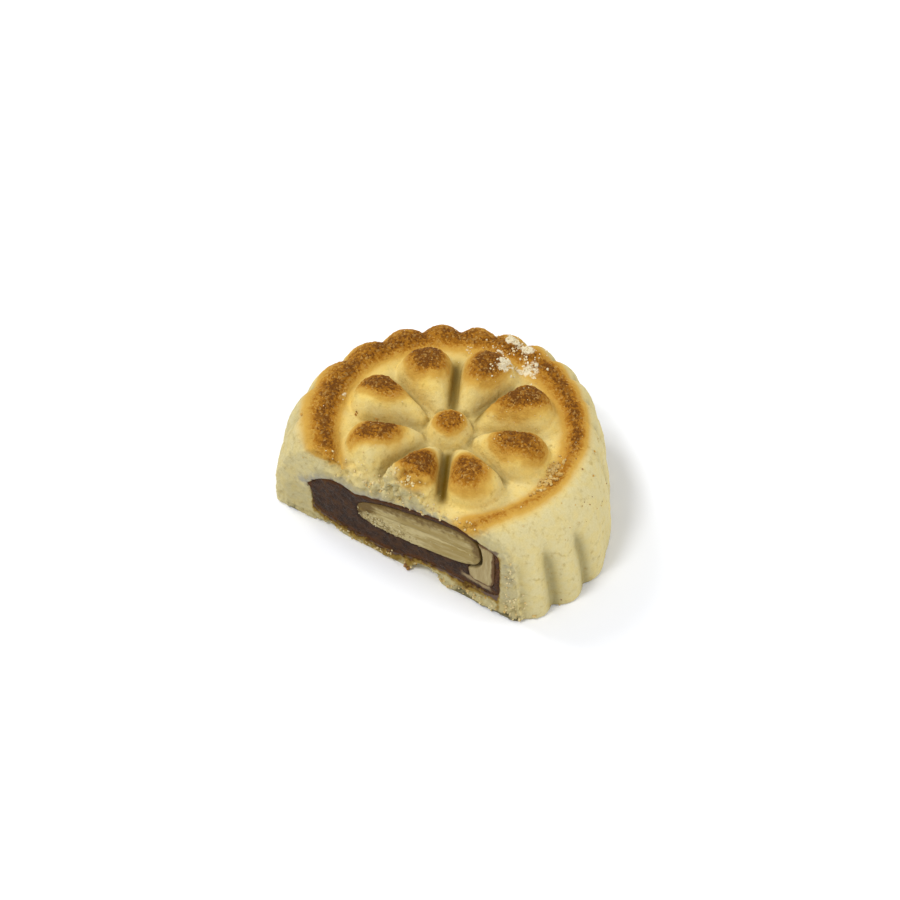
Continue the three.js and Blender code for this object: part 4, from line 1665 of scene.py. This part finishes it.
@dataclass
class Crumbs:
    """Loose crumbs of one kind, joined in one mesh."""

    name: str
    heaps: tuple[Heap, ...]
    seed: int
    sink: float = 0.4
    flatness: float = 0.75
    shrink: tuple[float, float] = (0.7, 1.0)
    stretch: tuple[float, float] = (0.7, 1.25)
    jitter: tuple[float, float] = (0.6, 1.35)
    lean: float = 0.12
    before_cut: float = 10.0
    above: float = 40.0

    def build(self, ground: BVHTree, material: bpy.types.Material, slot: Slot) -> bpy.types.Object:
        """Throws the crumbs on the ground and dresses them.

        Args:
            ground: The surface they land on, in metres.
            material: Their finish.
            slot: The record's slot that the material stands for.

        Returns:
            The piece.
        """
        rng = np.random.default_rng(self.seed)
        bm = bmesh.new()
        shades = bm.verts.layers.float.new(Zone.SHADE.value)
        for heap in self.heaps:
            for _ in range(heap.count):
                self.throw(bm, heap, ground, rng, shades)
        obj = placed(self.name, bm)
        return finish(obj, material, slot, smooth=False)

    def throw(
        self, bm: bmesh.types.BMesh, heap: Heap, ground: BVHTree, rng: np.random.Generator, shades: object
    ) -> None:
        """Adds one crumb where it lands, if it lands on anything.

        Args:
            bm: The mesh of the crumbs, in millimetres.
            heap: The heap that it belongs to.
            ground: The surface it lands on, in metres.
            rng: Source of its place and shape.
            shades: Point layer that holds how dark it is.
        """
        first = heap.first + heap.spread_first * rng.normal()
        second = heap.second + heap.spread_second * rng.normal()
        size = float(rng.uniform(*heap.size) * rng.uniform(*self.shrink))
        turn = rng.uniform(0, math.tau, 3)
        stretch = rng.uniform(*self.stretch, 3)
        jitter = rng.uniform(*self.jitter, 12)
        shade = float(rng.uniform(*heap.shade))
        if heap.on_cut:
            start, way = Vector((first, CUT_Y - self.before_cut, second)), Vector((0, 1, 0))
        else:
            start, way = Vector((first, second, self.above)), Vector((0, 0, -1))
        spot, normal, _, _ = ground.ray_cast(start * METRE, way)
        if spot is None:
            return
        centre = spot / METRE + normal * size * (0.5 - self.sink)
        scale = Matrix.Diagonal(Vector((*stretch[:2], stretch[2] * self.flatness)) * size / 2).to_4x4()
        lie = normal.to_track_quat("Z", "Y").to_matrix().to_4x4() @ Matrix.Rotation(turn[0], 4, "Z")
        tip = Matrix.Rotation((turn[1] - math.pi) * self.lean, 4, "X")
        place = Matrix.Translation(centre) @ lie @ tip @ scale
        made = bmesh.ops.create_icosphere(bm, subdivisions=1, radius=1.0, matrix=place)
        for vert, amount in zip(made["verts"], jitter):
            vert.co = centre + (vert.co - centre) * float(amount)
            vert[shades] = shade


# ----------------------------------------------------------------------------------------------- studio


@dataclass(frozen=True)
class Lamp:
    """A broad light from one direction and what it adds to the brightness of a white floor."""

    name: str
    azimuth: float
    elevation: float
    width: float
    on_floor: float


@dataclass
class Studio:
    """Floor, light and camera."""

    azimuth: float = 34.0
    elevation: float = 48.0
    distance: float = 700.0
    aim: tuple[float, float] = (0.04, 7.23)
    lens: float = 196.84
    floor_half: float = 900.0
    world: float = 0.505
    lamps: tuple[Lamp, ...] = (
        Lamp("left", 175.0, 41.0, 24.0, 0.275),
        Lamp("front", 250.0, 60.0, 16.0, 0.35),
        Lamp("right", 20.0, 28.0, 50.0, 0.165),
    )

    def build(self) -> None:
        """Sets the stage, the lights and the camera."""
        self.lay_floor()
        self.light()
        self.aim_camera()

    def axes(self) -> tuple[Vector, Vector, Vector]:
        """The camera's right, up and forward directions."""
        a, e = math.radians(self.azimuth), math.radians(self.elevation)
        right = Vector((math.cos(a), math.sin(a), 0.0))
        away = Vector((-math.sin(a), math.cos(a), 0.0))
        up = away * math.sin(e) + Vector((0, 0, math.cos(e)))
        return right, up, away * math.cos(e) - Vector((0, 0, math.sin(e)))

    def aim_camera(self) -> None:
        """Places the camera."""
        right, up, forward = self.axes()
        data = bpy.data.cameras.new("camera")
        data.lens, data.sensor_width, data.sensor_height = self.lens, 36.0, 36.0
        data.clip_start, data.clip_end = 0.05, 10.0
        camera = bpy.data.objects.new("camera", data)
        turn = Matrix((right, up, -forward)).transposed().to_4x4()
        eye = right * self.aim[0] + up * self.aim[1] - forward * self.distance
        camera.matrix_world = Matrix.Translation(eye * METRE) @ turn
        bpy.context.scene.collection.objects.link(camera)
        bpy.context.scene.camera = camera

    def lay_floor(self) -> None:
        """Lays the pale floor."""
        bm = bmesh.new()
        bmesh.ops.create_grid(bm, x_segments=8, y_segments=8, size=self.floor_half * METRE)
        floor = placed("floor", bm)
        material, wires, shader = start_material("pale_floor")
        tone = wires.mix(wires.noise(wires.place(), 60.0, 1.0), (0.91, 0.927, 0.965), (0.93, 0.945, 0.98))
        wires.tree.links.new(tone, shader.inputs["Base Color"])
        shader.inputs["Roughness"].default_value = 1.0
        shader.inputs["Specular IOR Level"].default_value = 0.0
        floor.data.materials.append(material)

    def light(self) -> None:
        """Sets an even sky, a key light and two broad fills."""
        scene = bpy.context.scene
        world = bpy.data.worlds.new("studio")
        scene.world = world
        world.use_nodes = True
        background = world.node_tree.nodes["Background"]
        background.inputs["Color"].default_value = (1.0, 1.0, 1.0, 1.0)
        background.inputs["Strength"].default_value = self.world
        for lamp in self.lamps:
            sun = bpy.data.lights.new(lamp.name, "SUN")
            a, e = math.radians(lamp.azimuth), math.radians(lamp.elevation)
            sun.energy, sun.angle = lamp.on_floor * math.pi / math.sin(e), math.radians(lamp.width)
            obj = bpy.data.objects.new(lamp.name, sun)
            towards = Vector((math.cos(a) * math.cos(e), math.sin(a) * math.cos(e), math.sin(e)))
            obj.rotation_euler = towards.to_track_quat("Z", "Y").to_euler()
            scene.collection.objects.link(obj)
        scene.view_settings.view_transform = "Standard"


FLOUR = (
    Heap(34, -1.6, 18.7, 1.2, 0.8, (0.2, 0.5)),
    Heap(24, 0.9, 18.2, 1.2, 0.7, (0.2, 0.45)),
    Heap(34, 0.8, 12.8, 0.8, 1.3, (0.25, 0.55)),
    Heap(34, 2.6, 15.8, 1.0, 1.1, (0.25, 0.55)),
    Heap(12, -2.4, 16.3, 1.2, 0.5, (0.2, 0.35)),
    Heap(5, -6.4, 14.2, 0.5, 0.5, (0.2, 0.35)),
    Heap(5, -15.9, -2.9, 0.3, 0.7, (0.15, 0.3)),
    Heap(8, 2.6, 20.6, 0.9, 0.4, (0.15, 0.35)),
    Heap(50, 0.0, 5.0, 10.0, 8.0, (0.08, 0.14)),
)
PALE_CRUMBS = (
    Heap(34, 16.0, 2.2, 0.5, 0.8, (0.45, 0.85), False, (0.6, 1.3)),
    Heap(46, 16.9, -0.6, 0.6, 1.6, (0.45, 0.85), False, (0.6, 1.4)),
    Heap(60, 0.5, -12.8, 3.0, 0.5, (0.2, 0.5)),
    Heap(40, 5.0, -13.1, 6.0, 0.4, (0.2, 0.45)),
    Heap(24, -8.0, -13.2, 4.0, 0.4, (0.2, 0.4)),
    Heap(30, 0.0, 13.3, 4.0, 0.5, (0.25, 0.6), True),
    Heap(34, 18.9, 5.8, 0.3, 3.2, (0.2, 0.5), True, (-0.4, 0.7)),
    Heap(30, 19.9, 2.9, 0.9, 1.5, (0.2, 0.55), True, (-0.4, 0.6)),
    Heap(50, 10.0, 0.9, 6.0, 0.5, (0.25, 0.6), True),
    Heap(30, -8.0, 0.7, 4.0, 0.4, (0.25, 0.5), True),
    Heap(80, 3.0, 2.0, 10.0, 9.0, (0.12, 0.28)),
)
BROWN_SPECKS = (
    Heap(1, -19.3, -8.6, 0.0, 0.0, (0.45, 0.5)),
    Heap(3, -12.3, -5.0, 0.1, 0.1, (0.35, 0.45)),
    Heap(3, -9.4, -4.3, 0.2, 0.2, (0.4, 0.6)),
    Heap(1, 18.6, 8.5, 0.0, 0.0, (0.4, 0.5)),
    Heap(1, 17.6, 11.0, 0.0, 0.0, (0.3, 0.4)),
    Heap(4, 20.0, 5.5, 0.6, 1.6, (0.25, 0.4)),
    Heap(14, 22.5, 2.0, 1.2, 4.0, (0.15, 0.3)),
    Heap(10, -12.0, -3.0, 3.0, 4.0, (0.15, 0.25)),
    Heap(7, 2.1, 0.5, 0.35, 0.2, (0.5, 0.9), True),
    Heap(30, 5.0, 1.6, 8.0, 0.5, (0.15, 0.35), True),
)
FLAKES = (
    Heap(44, -3.9, 6.5, 1.0, 0.6, (0.2, 0.5), True, (-0.3, 1.3)),
    Heap(60, -1.7, 6.3, 1.6, 0.6, (0.2, 0.5), True, (-0.3, 1.3)),
    Heap(30, 1.8, 6.2, 1.8, 0.5, (0.15, 0.35), True, (0.3, 1.3)),
    Heap(10, 7.5, 8.8, 2.0, 0.5, (0.12, 0.22), True),
)


def main() -> None:
    """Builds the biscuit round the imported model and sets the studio."""
    logging.basicConfig(level=logging.INFO, format="%(name)s: %(message)s")
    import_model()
    effects = Effects.build()
    dough = Dough().build(BakedDough().material(effects))
    Filling().build(DatePaste().material(effects))
    nut = Nut("almond_half", "almond", LONG_NUT).build(AlmondFlesh().material(effects))
    upright = AlmondFlesh(
        name="almond_piece_flesh",
        flesh=(0.33, 0.245, 0.1),
        light=(0.44, 0.355, 0.175),
        dark=(0.12, 0.055, 0.016),
        turn=0.0,
        upright=True,
    )
    Nut("almond_end", "almond_piece", SHORT_NUT, LONG_NUT, upright=True).build(upright.material(effects))
    ground = BVHTree.FromObject(dough, bpy.context.evaluated_depsgraph_get())
    flour = Crumb("flour_dust", (0.78, 0.7, 0.5), (0.68, 0.55, 0.3)).material(effects)
    pale = Crumb("dough_crumb", (0.69, 0.58, 0.31), (0.56, 0.41, 0.15), 0.15).material(effects)
    brown = Crumb("toasted_crumb", (0.2, 0.09, 0.03), (0.1, 0.05, 0.02), 0.9).material(effects)
    Crumbs("flour", FLOUR, 3).build(ground, flour, Slot.DOUGH)
    Crumbs("pale_crumbs", PALE_CRUMBS, 5, sink=0.35, flatness=0.95).build(ground, pale, Slot.DOUGH)
    Crumbs("toasted_specks", BROWN_SPECKS, 7).build(ground, brown, Slot.DOUGH)
    sliced_nut = BVHTree.FromObject(nut, bpy.context.evaluated_depsgraph_get())
    flake = Crumb("almond_flake", (0.56, 0.48, 0.26), (0.3, 0.22, 0.08)).material(effects)
    Crumbs("almond_flakes", FLAKES, 9, sink=0.3, flatness=0.5).build(sliced_nut, flake, Slot.NUT)
    Studio().build()


if __name__ == "__main__":
    main()
